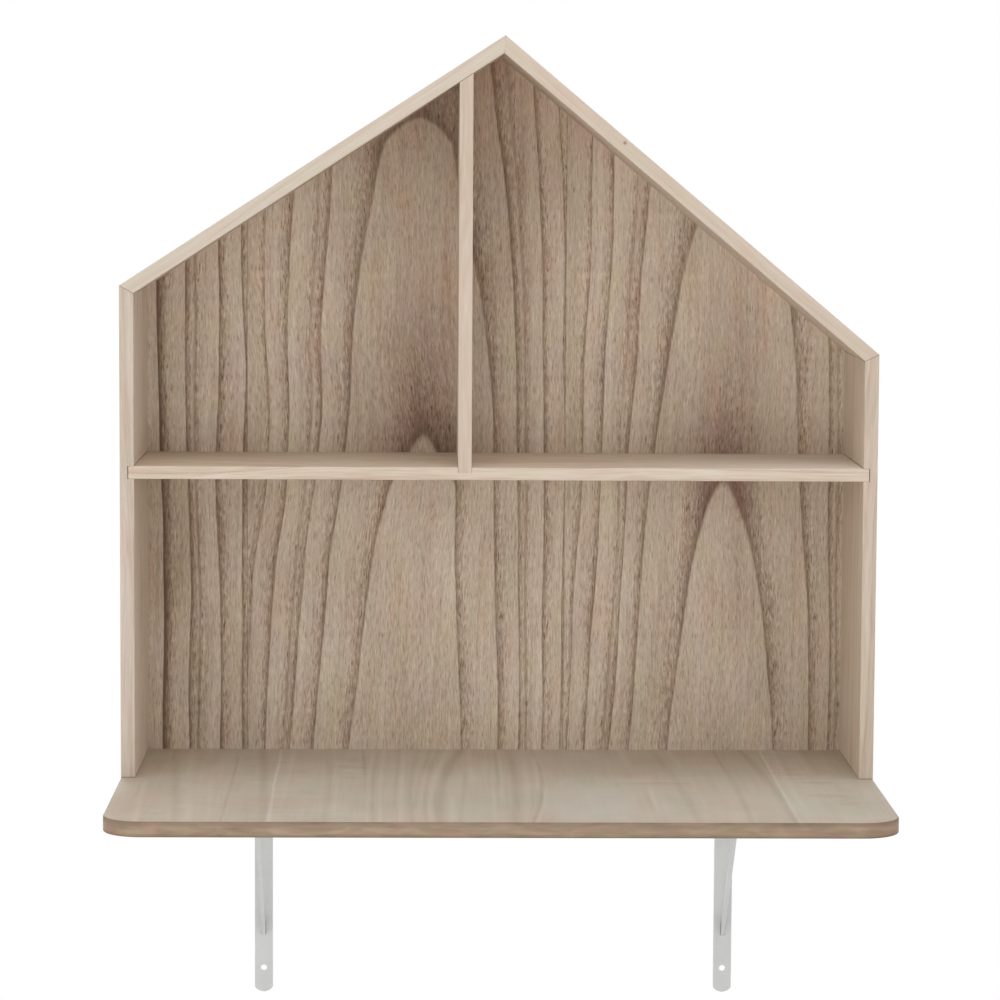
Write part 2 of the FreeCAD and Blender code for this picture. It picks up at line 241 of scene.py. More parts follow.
# The middle leaf's two arches, each fuller below its tip: height above the desk, how much fuller
FULLER = (
    (0.0, 0.0), (120.0, 0.025), (240.0, 0.07), (295.0, 0.078), (328.0, 0.018), (380.0, 0.0),
    (590.0, 0.0), (640.0, 0.028), (672.0, 0.047), (690.0, 0.024), (702.0, 0.004),
)
# They are so up to this far from the heart, and no longer from this far on
FULLER_REACH = (38.0, 75.0)
# The inner arches lean where they close: from, full, to and until which height, and how far on each leaf
TIP_HEIGHTS = (200.0, 320.0, 360.0, 470.0)
MIDDLE_TIP_SHIFT = 9.0
RIGHT_TIP_SHIFT = -6.0
# Their lean is full up to this far from the heart, and gone from this far on
TIP_REACH = (45.0, 110.0)
# How the arches sway: size of a swing along each axis, and how far it goes
SWAYS = (((60.0, 60.0, 260.0), 8.0), ((16.0, 16.0, 60.0), 0.7))
SWAY_SEED = 4.0
# Tone of the veneer above the shelf, with painted light that pales it near the roof boards: place across,
# tone low down, tone high up; and those two heights
UPPER_TONES = (
    (-390.0, 1.0, 1.02),
    (-250.0, 1.05, 1.065),
    (-190.0, 1.02, 1.05),
    (-150.0, 0.94, 1.02),
    (-40.0, 0.955, 0.975),
    (5.0, 0.96, 0.935),
    (55.0, 1.02, 1.03),
    (130.0, 1.01, 1.09),
    (200.0, 0.96, 1.06),
    (250.0, 1.05, 1.05),
    (390.0, 1.05, 1.05),
)
UPPER_TONE_HEIGHTS = (570.0, 760.0)
# Only the front of the panel has that tone: the depths between which it ends
FRONT_SKIN = (-4.0, -2.0)
# That tone begins behind the shelf, over this height
SHELF_HIDES = 12.0
# Under the ridge, right of the divider, the veneer pales again: from and to which height, and by how much
PEAK_FROM = 770.0
PEAK_TO = 860.0
PEAK_GAIN = 0.075
# A brown patch on the front of the left leaf, below the shelf: middle, half sizes, share that is full
PATCH_CENTRE = (-372.0, -5.0, 390.0)
PATCH_SIZE = (58.0, 4.5, 130.0)
PATCH_FULL = 0.4
# The veneer warms toward the ridge: from and to which height, and the tint
WARMTH = ((560.0, 850.0, "#FFFAF7"), (790.0, 900.0, "#FFF5F1"))
# Thin dark lines between the leaves: tone, and how far off they are full and gone
GLUE_LINE_TONE = 0.86
GLUE_LINE_RIM = (0.3, 1.0)
# Foot that the ramps of a leaf reach to, tone at its heart, and the tone that a ramp's 1 stands for
RING_SPAN = 200.0
HEART_TONE = 0.955
TONE_TOP = 1.25
# The stain over the inner arches: full near the heart, gone at its reach, which widens above the shelf
STAIN_FULL = 14.0
STAIN_REACH = (56.0, 88.0)
STAIN_HEIGHTS = (430.0, 490.0)
STAIN_END = 92.0
# It begins at the innermost ring, over this far on either side of it
STAIN_RIM = 1.0
# Pores between the lines, how many fades they trail off a line, and how far a line fades over its width
CLEAR_PORES = 0.4
PORE_REACH = 1.7
LINE_FADE = 0.52
# A line begins this far before its ring and is darkest this far after it
LINE_BEFORE = 0.5
LINE_AFTER = 0.3
# Lines of the left leaf are stronger: up to and from which ring, and by how much
LEFT_RINGS = (108.0, 116.0)
LEFT_GAINS = (1.1, 0.3)
# Each ring: foot of its arch, tone just before it, tone of its dark line, width of the line, its fade
RINGS = (
    (60.5, 1.035, 0.78, 3.0, 11.0),
    (100.6, 1.03, 0.75, 2.8, 8.0),
    (123.2, 1.04, 0.77, 2.2, 5.0),
    (130.6, 0.985, 0.86, 1.8, 3.5),
    (149.8, 1.05, 0.76, 2.2, 6.0),
    (170.0, 1.035, 0.80, 2.0, 5.0),
)
# Strokes of the pores, drawn coarser than they are so that they show: size, seed, share, gain in tone
PORE_STROKES = (
    ((1.2, 50.0, 11.0), 11.0, 0.33, -0.29),
    ((1.2, 50.0, 9.0), 17.0, 0.28, 0.12),
)


def leaf_heart(tree, place, across, shares, height, rise):
    """Place across of the heart of a leaf, which leans, bends where its arches close and sways."""
    leaf, left, middle_leaf, right = shares
    slope = add(tree, MATH, {0: rise, 1: LEAN_LOSS, 2: LEAN}, operation="MULTIPLY_ADD")
    heart = add(tree, MATH, {0: rise, 1: slope, 2: LEAF_CENTRE}, operation="MULTIPLY_ADD")
    heart = add(tree, MATH, {0: leaf, 1: LEAF_PITCH, 2: heart}, operation="MULTIPLY_ADD")
    heart = add(tree, MATH, {0: left, 1: LEFT_LEAF_SHIFT, 2: heart}, operation="MULTIPLY_ADD")
    foot_shift = add(tree, RANGE, {0: height, 1: 0.0, 2: LEFT_FOOT_END, 3: LEFT_FOOT_SHIFT, 4: 0.0})
    heart = add(tree, MATH, {0: left, 1: foot_shift, 2: heart}, operation="MULTIPLY_ADD")
    low, full, until, high = TIP_HEIGHTS
    closing = product(tree, [
        add(tree, RANGE, {0: rise, 1: low, 2: full, 3: 0.0, 4: 1.0}, interpolation_type="SMOOTHSTEP"),
        add(tree, RANGE, {0: rise, 1: until, 2: high, 3: 1.0, 4: 0.0}, interpolation_type="SMOOTHSTEP"),
    ])
    aside = add(tree, MATH, {0: across, 1: heart}, operation="SUBTRACT")
    away = add(tree, MATH, {0: aside}, operation="ABSOLUTE")
    inner, outer = TIP_REACH
    for share, shift, reach in ((middle_leaf, MIDDLE_TIP_SHIFT, aside), (right, RIGHT_TIP_SHIFT, away)):
        near = add(tree, RANGE, {0: reach, 1: inner, 2: outer, 3: 1.0, 4: 0.0})
        lean = product(tree, [closing, share, near])
        heart = add(tree, MATH, {0: lean, 1: shift, 2: heart}, operation="MULTIPLY_ADD")
    for size, sway in SWAYS:
        swing = mottle(tree, place, size, sway, SWAY_SEED, detail=1.0)
        heart = add(tree, MATH, {0: heart, 1: swing}, operation="ADD")
    return heart


def arch_rise(tree, level, rise, left, middle_leaf):
    """What the height of a point adds to its arch: more near the ridge, less far from the heart."""
    above = add(tree, MATH, {0: rise, 1: 1.0}, operation="MAXIMUM")
    above = add(tree, MATH, {0: above, 1: ARCH_RISE}, operation="DIVIDE")
    above = add(tree, MATH, {0: above, 1: RISE_POWER}, operation="POWER")
    fuller = add(tree, MATH, {0: rise, 1: 1 / ARCH_RISE}, operation="MULTIPLY")
    fuller = add(tree, RAMP, {0: fuller}, stops=[(at / ARCH_RISE, gain) for at, gain in FULLER])
    inner, outer = FULLER_REACH
    near = add(tree, MATH, {0: level}, operation="ABSOLUTE")
    near = add(tree, RANGE, {0: near, 1: inner, 2: outer, 3: 1.0, 4: 0.0})
    fuller = product(tree, [fuller, near, middle_leaf])
    above = add(tree, MATH, {0: above, 1: fuller}, operation="SUBTRACT")
    above = add(tree, MATH, {0: above, 1: ARCH_FOOT ** ARCH_POWER}, operation="MULTIPLY")
    upright = add(tree, MATH, {0: left, 1: LEFT_LEAF_CLOSING - 1, 2: 1.0}, operation="MULTIPLY_ADD")
    above = add(tree, MATH, {0: above, 1: upright}, operation="MULTIPLY")
    spread = add(tree, MATH, {0: level, 1: level}, operation="MULTIPLY")
    spread = add(tree, MATH, {0: spread, 1: ARCH_SPREAD, 2: 1.0}, operation="MULTIPLY_ADD")
    return add(tree, MATH, {0: above, 1: spread}, operation="DIVIDE")


def veneer_arches(tree, place, axes):
    """Distance from the heart of the leaf: at the foot of the arch through a point, and level with it."""
    left = add(tree, MATH, {0: axes["X"], 1: VENEER_EDGES[0]}, operation="LESS_THAN")
    right = add(tree, MATH, {0: axes["X"], 1: VENEER_EDGES[1]}, operation="GREATER_THAN")
    leaf = add(tree, MATH, {0: right, 1: left}, operation="SUBTRACT")
    middle_leaf = add(tree, MATH, {0: leaf, 1: 0.0, 2: 0.5}, operation="COMPARE")
    height = add(tree, MATH, {0: axes["Z"], 1: DESK_TOP}, operation="SUBTRACT")
    rise = add(tree, MATH, {0: leaf, 1: LEAF_RISE, 2: height}, operation="MULTIPLY_ADD")
    heart = leaf_heart(tree, place, axes["X"], (leaf, left, middle_leaf, right), height, rise)
    stretch = add(tree, MATH, {0: left, 1: LEFT_LEAF_STRETCH - 1, 2: 1.0}, operation="MULTIPLY_ADD")
    level = add(tree, MATH, {0: axes["X"], 1: heart}, operation="SUBTRACT")
    level = add(tree, MATH, {0: level, 1: stretch}, operation="DIVIDE")
    far = add(tree, MATH, {0: level, 1: -1.0, 2: -WIDE_FROM}, operation="MULTIPLY_ADD")
    far = add(tree, MATH, {0: far, 1: 0.0}, operation="MAXIMUM")
    far = product(tree, [far, middle_leaf])
    level = add(tree, MATH, {0: far, 1: WIDER, 2: level}, operation="MULTIPLY_ADD")
    width = add(tree, MATH, {0: level}, operation="ABSOLUTE")
    width = add(tree, MATH, {0: width, 1: ARCH_POWER}, operation="POWER")
    above = arch_rise(tree, level, rise, left, middle_leaf)
    arch = add(tree, MATH, {0: width, 1: above}, operation="ADD")
    foot = add(tree, MATH, {0: arch, 1: 1 / ARCH_POWER}, operation="POWER")
    return foot, level, left


def upper_tone_and_painted_light(tree, axes):
    """Tone of the veneer above the shelf: browner over the inner arch, paler near both roof boards with
    painted light where their shade falls.
    """
    across = add(tree, MATH, {0: axes["X"], 1: 1 / SPAN, 2: 0.5}, operation="MULTIPLY_ADD")
    rows = []
    for row in (1, 2):
        stops = [(tones[0] / SPAN + 0.5, tones[row] / TONE_TOP) for tones in UPPER_TONES]
        rows.append(add(tree, RAMP, {0: across}, stops=stops))
    low, high = UPPER_TONE_HEIGHTS
    share = add(tree, RANGE, {0: axes["Z"], 1: low, 2: high, 3: 0.0, 4: 1.0})
    tone = add(tree, MIX, {0: share, 2: rows[0], 3: rows[1]})
    gain = add(tree, MATH, {0: tone, 1: TONE_TOP, 2: -1.0}, operation="MULTIPLY_ADD")
    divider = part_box("divider_board")[1].x * MILLIMETRES
    beyond = add(tree, MATH, {0: axes["X"], 1: divider}, operation="GREATER_THAN")
    peak = add(tree, RANGE, {0: axes["Z"], 1: PEAK_FROM, 2: PEAK_TO, 3: 0.0, 4: PEAK_GAIN})
    gain = add(tree, MATH, {0: beyond, 1: peak, 2: gain}, operation="MULTIPLY_ADD")
    skin, core = FRONT_SKIN
    upper = product(tree, [
        add(tree, RANGE, {0: axes["Z"], 1: SHELF_TOP - SHELF_HIDES, 2: SHELF_TOP, 3: 0.0, 4: 1.0}),
        add(tree, RANGE, {0: axes["Y"], 1: skin, 2: core, 3: 1.0, 4: 0.0}),
    ])
    return add(tree, MATH, {0: upper, 1: gain, 2: 1.0}, operation="MULTIPLY_ADD")


def glue_lines(tree, axes):
    """Tone of the thin dark lines where two veneer leaves meet."""
    full, gone = GLUE_LINE_RIM
    tones = []
    for edge in VENEER_EDGES:
        away = add(tree, MATH, {0: axes["X"], 1: edge}, operation="SUBTRACT")
        away = add(tree, MATH, {0: away}, operation="ABSOLUTE")
        tones.append(add(tree, RANGE, {0: away, 1: full, 2: gone, 3: GLUE_LINE_TONE, 4: 1.0}))
    return product(tree, tones)


def ring_stops():
    """Stops of the two ramps over a leaf: tone of the growth lines, and how many pores show."""
    lines = [(0.0, HEART_TONE / TONE_TOP)]
    pores = [(0.0, CLEAR_PORES)]
    free_from = 0.0
    for ring, before, dark, width, fade in RINGS:
        faded = LINE_FADE + (1 - LINE_FADE) * dark
        for at, tone in (
            ((free_from + ring) / 2, before), (ring - LINE_BEFORE, before), (ring + LINE_AFTER, dark),
            (ring + width, faded), (ring + fade, 1.0),
        ):
            lines.append((at / RING_SPAN, tone / TONE_TOP))
        for at, share in (
            (ring - LINE_BEFORE, CLEAR_PORES), (ring + width, 1.0), (ring + PORE_REACH * fade, CLEAR_PORES),
        ):
            pores.append((at / RING_SPAN, share))
        free_from = ring + fade
    return lines, pores


def growth_lines(tree, place, foot, share, left, stops):
    """Tone of the growth lines, deeper on the left leaf and in patches along the grain."""
    line = add(tree, RAMP, {0: share}, stops=stops)
    line = add(tree, MATH, {0: line, 1: TONE_TOP, 2: -1.0}, operation="MULTIPLY_ADD")
    inner, outer = LEFT_RINGS
    gain = add(tree, RANGE, {0: foot, 1: inner, 2: outer, 3: LEFT_GAINS[0], 4: LEFT_GAINS[1]})
    depth = add(tree, MATH, {0: left, 1: gain, 2: 1.0}, operation="MULTIPLY_ADD")
    depth = product(tree, [depth, mottle(tree, place, (25.0, 25.0, 110.0), 0.6, seed=3.0, detail=1.0)])
    return add(tree, MATH, {0: line, 1: depth, 2: 1.0}, operation="MULTIPLY_ADD")


def pore_tones(tree, grain, pores):
    """Tones of the flecks and strokes of the pores, which trail off each growth line."""
    fleck = mottle(tree, grain, (1.7, 50.0, 9.0), 0.36, seed=5.0, distortion=0.5)
    fleck = add(tree, MATH, {0: fleck, 1: 1.0}, operation="SUBTRACT")
    tones = [add(tree, MATH, {0: fleck, 1: pores, 2: 1.0}, operation="MULTIPLY_ADD")]
    for size, seed, share, gain in PORE_STROKES:
        stroke = dashes(tree, grain, size, seed, share)
        stroke = add(tree, MATH, {0: stroke, 1: pores}, operation="MULTIPLY")
        tones.append(add(tree, MATH, {0: stroke, 1: gain, 2: 1.0}, operation="MULTIPLY_ADD"))
    return tones


def heart_stain(tree, axes, level, share):
    """Share of the brown stain over the inner arches."""
    spread = add(tree, MATH, {0: level}, operation="ABSOLUTE")
    low, high = STAIN_HEIGHTS
    narrow, wide = STAIN_REACH
    reach = add(tree, RANGE, {0: axes["Z"], 1: low, 2: high, 3: narrow, 4: wide})
    stain = add(tree, RANGE, {0: spread, 1: STAIN_FULL, 2: reach, 3: 1.0, 4: 0.0},
                interpolation_type="SMOOTHSTEP")
    first_ring = RINGS[0][0]
    over = add(tree, RAMP, {0: share}, stops=[
        ((first_ring - STAIN_RIM) / RING_SPAN, 0.0), ((first_ring + STAIN_RIM) / RING_SPAN, 1.0),
        (STAIN_END / RING_SPAN, 0.0),
    ])
    return add(tree, MATH, {0: stain, 1: over}, operation="MULTIPLY")


def veneer():
    """Sliced paulownia, oiled matt: broad pale arches with brown lines, pores that trail off each line."""
    material, tree = blank_finish("sliced_paulownia_veneer")
    place = coordinates_mm(tree)
    axes = add(tree, SPLIT, {0: place}).node.outputs
    foot, level, left = veneer_arches(tree, place, axes)
    share = add(tree, MATH, {0: foot, 1: 1 / RING_SPAN}, operation="MULTIPLY")
    line_stops, pore_stops = ring_stops()
    pores = add(tree, RAMP, {0: share}, stops=pore_stops)
    grain = add(tree, JOIN, {"X": level, "Y": axes["Y"], "Z": axes["Z"]})
    tone = product(tree, [
        growth_lines(tree, place, foot, share, left, line_stops),
        *pore_tones(tree, grain, pores),
        mottle(tree, grain, (1.2, 50.0, 16.0), 0.18, seed=23.0, distortion=0.3),
        mottle(tree, grain, (5.0, 50.0, 150.0), 0.12, seed=29.0),
        mottle(tree, place, (80.0, 80.0, 150.0), 0.08, seed=31.0, detail=1.0),
        upper_tone_and_painted_light(tree, axes),
        glue_lines(tree, axes),
    ])
    color = shade_color(tree, tone, (
        (0.6, "#685241"), (0.75, "#87725F"), (0.9, "#A5927F"), (1.0, "#B9A896"), (1.2, "#D7C9B9"),
    ))
    color = tinted(tree, color, heart_stain(tree, axes, level, share), "#D6C6C3")
    away = from_middle(tree, place, PATCH_CENTRE, PATCH_SIZE)
    patch = add(tree, RANGE, {0: away, 1: PATCH_FULL, 2: 1.0, 3: 1.0, 4: 0.0},
                interpolation_type="SMOOTHSTEP")
    color = tinted(tree, color, patch, "#E6DFD8")
    for low, high, tint in WARMTH:
        warm = add(tree, RANGE, {0: axes["Z"], 1: low, 2: high, 3: 0.0, 4: 1.0})
        color = tinted(tree, color, warm, tint)
    color = hue_patches(tree, color, grain, (24.0, 50.0, 90.0), 37.0, ("#FBFFF8", "#FFFDFC", "#FFF5F2"))
    color = hue_patches(tree, color, grain, (30.0, 50.0, 50.0), 41.0, ("#FFFFF6", "#FFFFFF", "#FBFBFF"))
    roughness = add(tree, RANGE, {0: tone, 1: 0.7, 2: 1.2, 3: 0.68, 4: 0.5})
    finish_surface(tree, color, roughness, tone, 0.2, IOR=1.5)
    return material


# Rings of the house's boards: how far apart, how far they sway, and the size of a swing along each axis
RING_SPACING = 13.0
RING_SWAY = (36.0, 36.0, 0.0)
RING_SWAY_SIZE = (90.0, 90.0, 420.0)
# Tone over one ring, from its dark line to the next, and tone of wood without figure
RING_TONES = ((0.0, 0.90), (0.10, 0.95), (0.45, 0.985), (0.85, 1.0), (0.96, 0.985), (1.0, 0.90))
PLAIN_TONE = 0.97
# How squarely a board's edge looks to the front: from none to all of the edge's tint
EDGE_FACING = (0.3, 0.8)
# Dark lines where boards meet, a dark joint at a mitre and painted contact shade over the desk and the shelf:
# strength at the desk, at a mitre and over the shelf
FOOT_SHADE = 0.65
MITRE_SHADE = 0.55
SHELF_SHADE = 0.8
# How far off such a line is full and gone: above the desk or the shelf, and beside a mitre
CREASE = (0.4, 1.6)
MITRE_LINE = (0.2, 0.8)
# The shelf's line begins this far below its top, and stays this far inside the outer faces of the sides
SHELF_LINE_RISE = 0.6
SHELF_LINE_INSET = 5.0
# A pin knot: how far from its middle it is full and gone, and how dark it is
KNOT_REACH = (0.5, 3.0)
KNOT_SHADE = 0.8
# How pale a painted-light end gets
PAINTED_LIGHT_SHARE = 0.62


def mitres(name):
    """The mitre planes that end a board of the house: a point and a normal of each, in millimetres."""
    side = name.split("_")[0]
    outer = 0 if side == "left" else 1
    eave_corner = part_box(side + "_side_panel")
    eave = Vector((eave_corner[outer].x, 0.0, eave_corner[1].z)) * MILLIMETRES
    inner = 1 - outer
    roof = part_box(side + "_roof_panel")
    ridge = Vector((roof[inner].x, 0.0, roof[1].z)) * MILLIMETRES
    along = (ridge - eave).normalized() - Vector((0.0, 0.0, 1.0))
    planes = [(eave, Vector((along.z, 0.0, -along.x)).normalized())]
    if "roof" in name:
        planes.append((ridge, Vector((1.0, 0.0, 0.0))))
    return planes


def board_tone(tree, board, heart, figure):
    """Tone of a board: rings round its heart with fibres along them, as strong as the figure."""
    sway = add(tree, VECTOR, {0: board, 1: tuple(1 / size for size in RING_SWAY_SIZE)}, operation="MULTIPLY")
    sway = add(tree, NOISE, {"Vector": sway, "Scale": 1.0, "Detail": 2.0}, out="Color")
    sway = add(tree, VECTOR, {0: sway, 1: (0.5, 0.5, 0.5)}, operation="SUBTRACT")
    bent = add(tree, VECTOR, {0: sway, 1: RING_SWAY, 2: board}, operation="MULTIPLY_ADD")
    bent = add(tree, VECTOR, {0: bent, 1: heart}, operation="SUBTRACT")
    flat = add(tree, VECTOR, {0: bent, 1: (1.0, 1.0, 0.0)}, operation="MULTIPLY")
    radius = add(tree, VECTOR, {0: flat}, out="Value", operation="LENGTH")
    phase = add(tree, MATH, {0: radius, 1: 1 / RING_SPACING}, operation="MULTIPLY")
    phase = add(tree, MATH, {0: phase}, operation="FRACT")
    axes = add(tree, SPLIT, {0: board}).node.outputs
    along = add(tree, JOIN, {"X": radius, "Y": axes["Y"], "Z": axes["Z"]})
    tone = product(tree, [
        add(tree, RAMP, {0: phase}, stops=RING_TONES),
        mottle(tree, along, (1.4, 6.0, 45.0), 0.12, seed=1.0),
        mottle(tree, board, (2.0, 2.0, 30.0), 0.08, seed=2.0),
        mottle(tree, board, (60.0, 60.0, 200.0), 0.05, seed=3.0, detail=1.0),
    ])
    return add(tree, MATH, {0: tone, 1: figure, 2: PLAIN_TONE * (1 - figure)}, operation="MULTIPLY_ADD")


def joint_lines_and_contact_shade(tree, place, name, face):
    """Strength of the dark lines where a board meets the desk, the next board and the shelf: dark joints at
    the mitres, painted contact shade over the desk and the shelf.
    """
    axes = add(tree, SPLIT, {0: place}).node.outputs
    near, far = CREASE
    shade = add(tree, RANGE, {0: axes["Z"], 1: DESK_TOP + near, 2: DESK_TOP + far, 3: FOOT_SHADE, 4: 0.0})
    if "side" in name or "roof" in name:
        full, gone = MITRE_LINE
        for point, normal in mitres(name):
            away = add(tree, VECTOR, {0: place, 1: point}, operation="SUBTRACT")
            away = add(tree, VECTOR, {0: away, 1: normal}, out="Value", operation="DOT_PRODUCT")
            away = add(tree, MATH, {0: away}, operation="ABSOLUTE")
            line = add(tree, RANGE, {0: away, 1: full, 2: gone, 3: MITRE_SHADE, 4: 0.0})
            shade = add(tree, MATH, {0: shade, 1: line}, operation="MAXIMUM")
    if name != "shelf_board":
        begin = SHELF_TOP - SHELF_LINE_RISE
        inner_half = cad_high.x * MILLIMETRES - SHELF_LINE_INSET
        across = add(tree, MATH, {0: axes["X"]}, operation="ABSOLUTE")
        line = product(tree, [
            add(tree, RANGE, {0: axes["Z"], 1: begin, 2: SHELF_TOP, 3: 0.0, 4: 1.0}),
            add(tree, RANGE, {0: axes["Z"], 1: SHELF_TOP + near, 2: SHELF_TOP + far, 3: SHELF_SHADE, 4: 0.0}),
            face,
            add(tree, MATH, {0: across, 1: inner_half}, operation="LESS_THAN"),
        ])
        shade = add(tree, MATH, {0: shade, 1: line}, operation="MAXIMUM")
    return shade


def sanded_paulownia(name, turn, heart, offset, figure, edge_tint, face_tint, knot=None, painted_light_end=None):
    """Bare paulownia board: pale straw, soft ring lines along the board, sanded to a dry matt."""
    material, tree = blank_finish("sanded_paulownia_" + name)
    place = coordinates_mm(tree)
    board = add(tree, MAPPING, {"Vector": place, "Location": offset, "Rotation": (0.0, turn, 0.0)})
    tone = board_tone(tree, board, heart, figure)
    color = shade_color(tree, tone, (
        (0.75, "#A18974"), (0.91, "#C8B5A2"), (1.0, "#D9CABA"), (1.08, "#E3D7CB"),
    ))
    low, high = EDGE_FACING
    edge = add(tree, RANGE, {0: facing(tree, "Y"), 1: low, 2: high, 3: 0.0, 4: 1.0})
    face = add(tree, MATH, {0: 1.0, 1: edge}, operation="SUBTRACT")
    color = tinted(tree, color, edge, edge_tint)
    color = tinted(tree, color, face, face_tint)
    # Painted light: the faces pale toward one end, lifting the shade there
    if painted_light_end:
        begin, full = painted_light_end
        across = add(tree, SPLIT, {0: place}).node.outputs["X"]
        pale = add(tree, RANGE, {0: across, 1: begin, 2: full, 3: 0.0, 4: PAINTED_LIGHT_SHARE})
        pale = product(tree, [face, pale])
        color = add(tree, MIX, {0: pale, MIX_A: color, MIX_B: hex_color("#EFE6DC")},
                    out=MIX_RESULT, data_type="RGBA")
    if knot:
        full, gone = KNOT_REACH
        away = add(tree, VECTOR, {0: place, 1: knot}, out="Value", operation="DISTANCE")
        pin = add(tree, RANGE, {0: away, 1: full, 2: gone, 3: KNOT_SHADE, 4: 0.0},
                  interpolation_type="SMOOTHSTEP")
        color = tinted(tree, color, pin, "#A89683")
    color = hue_patches(tree, color, board, (14.0, 14.0, 60.0), 7.0, ("#FBFFF9", "#FFFFFF", "#FFF7F6"))
    # Dark mitre joints, and painted contact shade just above the desk and the shelf
    color = tinted(tree, color, joint_lines_and_contact_shade(tree, place, name, face), "#8A8078")
    roughness = add(tree, RANGE, {0: tone, 1: 0.8, 2: 1.05, 3: 0.75, 4: 0.58})
    finish_surface(tree, color, roughness, tone, 0.2, IOR=1.5)
    return material


# Staves of the desk board, left to right: left edge, tone, curl across the grain
STAVES = (
    (-400.0, 0.985, 0.5),
    (-237.0, 1.0, 0.9),
    (-142.0, 0.995, 0.1),
    (45.0, 1.0, 0.3),
    (249.0, 0.985, 0.2),
    (293.5, 1.01, 0.8),
)
# Seams and figure lines of the desk: the three depths at which each has its place, and how far its ends fade
LINE_DEPTHS = (-20.0, -230.0, -440.0)
LINE_FADE_OUT = 40.0
# Place across at those depths, tone, half width, and the depths at which it starts and stops
FIGURE_LINES = (
    (-353.0, -340.0, -325.0, 0.96, 8.0, 0.0, FRONT),
    (-335.0, -326.0, -312.0, 1.025, 7.0, 0.0, FRONT),
    (-376.0, -372.0, -365.0, 1.03, 6.0, -190.0, FRONT),
    (-303.0, -302.0, -293.0, 1.025, 5.0, -190.0, FRONT),
    (-283.0, -281.0, -281.0, 0.95, 2.6, -40.0, FRONT),
    (-258.0, -246.0, -239.0, 0.955, 8.0, 0.0, FRONT),
    (-237.2, -235.2, -233.0, 1.085, 2.8, 0.0, FRONT),
    (-222.0, -223.0, -220.0, 1.025, 4.0, 0.0, -340.0),
    (-186.0, -178.0, -177.0, 0.97, 6.0, -60.0, FRONT),
    (-178.0, -171.0, -168.0, 1.02, 4.0, 0.0, FRONT),
    (-146.5, -141.0, -143.0, 0.94, 3.4, 0.0, -190.0),
    (-135.0, -137.0, -135.5, 1.035, 3.0, 0.0, FRONT),
    (-129.0, -132.0, -129.0, 0.965, 3.0, 0.0, FRONT),
    (-123.0, -124.0, -122.0, 1.04, 3.4, 0.0, FRONT),
    (-106.0, -108.0, -108.0, 0.965, 3.4, 0.0, -400.0),
    (-100.0, -102.0, -101.0, 1.035, 4.0, 0.0, FRONT),
    (-86.0, -92.0, -90.0, 0.96, 5.0, 0.0, FRONT),
    (-73.0, -83.0, -89.0, 0.965, 4.0, 0.0, -400.0),
    (-64.0, -75.0, -76.0, 0.96, 4.0, 0.0, FRONT),
    (-54.0, -68.0, -70.0, 1.035, 5.0, 0.0, FRONT),
    (-40.0, -59.0, -62.0, 0.93, 10.0, 0.0, FRONT),
    (-30.0, -26.0, -18.0, 1.035, 8.0, 0.0, -230.0),
    (-40.0, -48.0, -49.0, 1.03, 6.0, -280.0, FRONT),
    (-30.0, -36.0, -41.0, 0.97, 5.0, -130.0, FRONT),
    (0.0, 0.0, -3.0, 0.955, 4.0, 0.0, -260.0),
    (4.0, 3.0, 2.0, 1.03, 4.0, 0.0, -340.0),
    (-4.0, -6.5, -7.0, 1.025, 4.0, -100.0, FRONT),
    (16.0, 18.0, 13.5, 0.94, 8.0, 0.0, FRONT),
    (31.5, 30.0, 25.5, 1.03, 6.0, 0.0, FRONT),
    (39.0, 41.0, 28.0, 1.035, 4.0, -40.0, -270.0),
    (43.0, 46.0, 32.0, 0.945, 3.4, -80.0, FRONT),
    (47.0, 50.0, 36.5, 1.04, 4.4, -230.0, FRONT),
    (140.0, 142.0, 150.0, 1.03, 7.0, 0.0, -130.0),
    (176.0, 190.0, 196.0, 0.965, 8.0, 0.0, FRONT),
    (194.0, 206.0, 210.0, 1.025, 6.0, 0.0, -400.0),
    (150.0, 152.0, 155.0, 0.965, 5.0, -240.0, -400.0),
    (158.0, 158.0, 160.0, 1.03, 4.0, -240.0, -400.0),
    (243.0, 250.0, 248.0, 0.955, 5.0, 0.0, FRONT),
    (274.0, 288.0, 292.0, 0.95, 7.0, 0.0, FRONT),
    (294.8, 296.0, 297.0, 1.07, 2.8, 0.0, FRONT),
    (309.0, 308.0, 310.0, 1.03, 5.0, 0.0, -380.0),
    (344.0, 349.0, 356.0, 0.965, 8.0, 0.0, -200.0),
)
# Pale wedge of sapwood beside the seam of the second stave: where it starts, its width there and in front
WEDGE_FROM = -330.0
WEDGE_TIP = 0.5
WEDGE_WIDTH = 9.0
# The desk's two ends: where each is brownest, where that is gone, and its tone
DESK_ENDS = ((-392.0, -318.0, 0.89), (392.0, 310.0, 0.92))
# Their brown shows by this share at the back; the depths between which it grows to full
END_SHARE_BACK = 0.45
END_DEPTHS = (-230.0, -350.0)
# Where the warmer tint of the left end is gone
LEFT_END_TINT_TO = -250.0
# The right half, darker at the wall with painted shade and paler in front with painted light: where it begins
# and is full, depths, gains in tone
RIGHT_HALF = (0.0, 250.0)
RIGHT_HALF_DEPTHS = (-150.0, -290.0)
RIGHT_HALF_GAINS = (-0.04, 0.015)
# Painted light and shade over the whole desk by depth, lighter at the wall and in front, darker under the
# front of the house: between which two depths, and the tone at each
DEPTH_LIGHT_AND_SHADE = (
    (-10.0, -90.0, 1.055, 1.01),
    (-160.0, -270.0, 0.97, 1.005),
    (-330.0, -440.0, 1.0, 1.022),
)
# Depths between which the top turns cooler in front with painted light, and its front rim warmer
COOL_LIGHT_FRONT = (-140.0, -260.0)
WARM_RIM = (-405.0, -445.0)
# How squarely a face looks up or down: from none to all of the sawn edge's colour
SAWN_FACING = (0.985, 0.9)
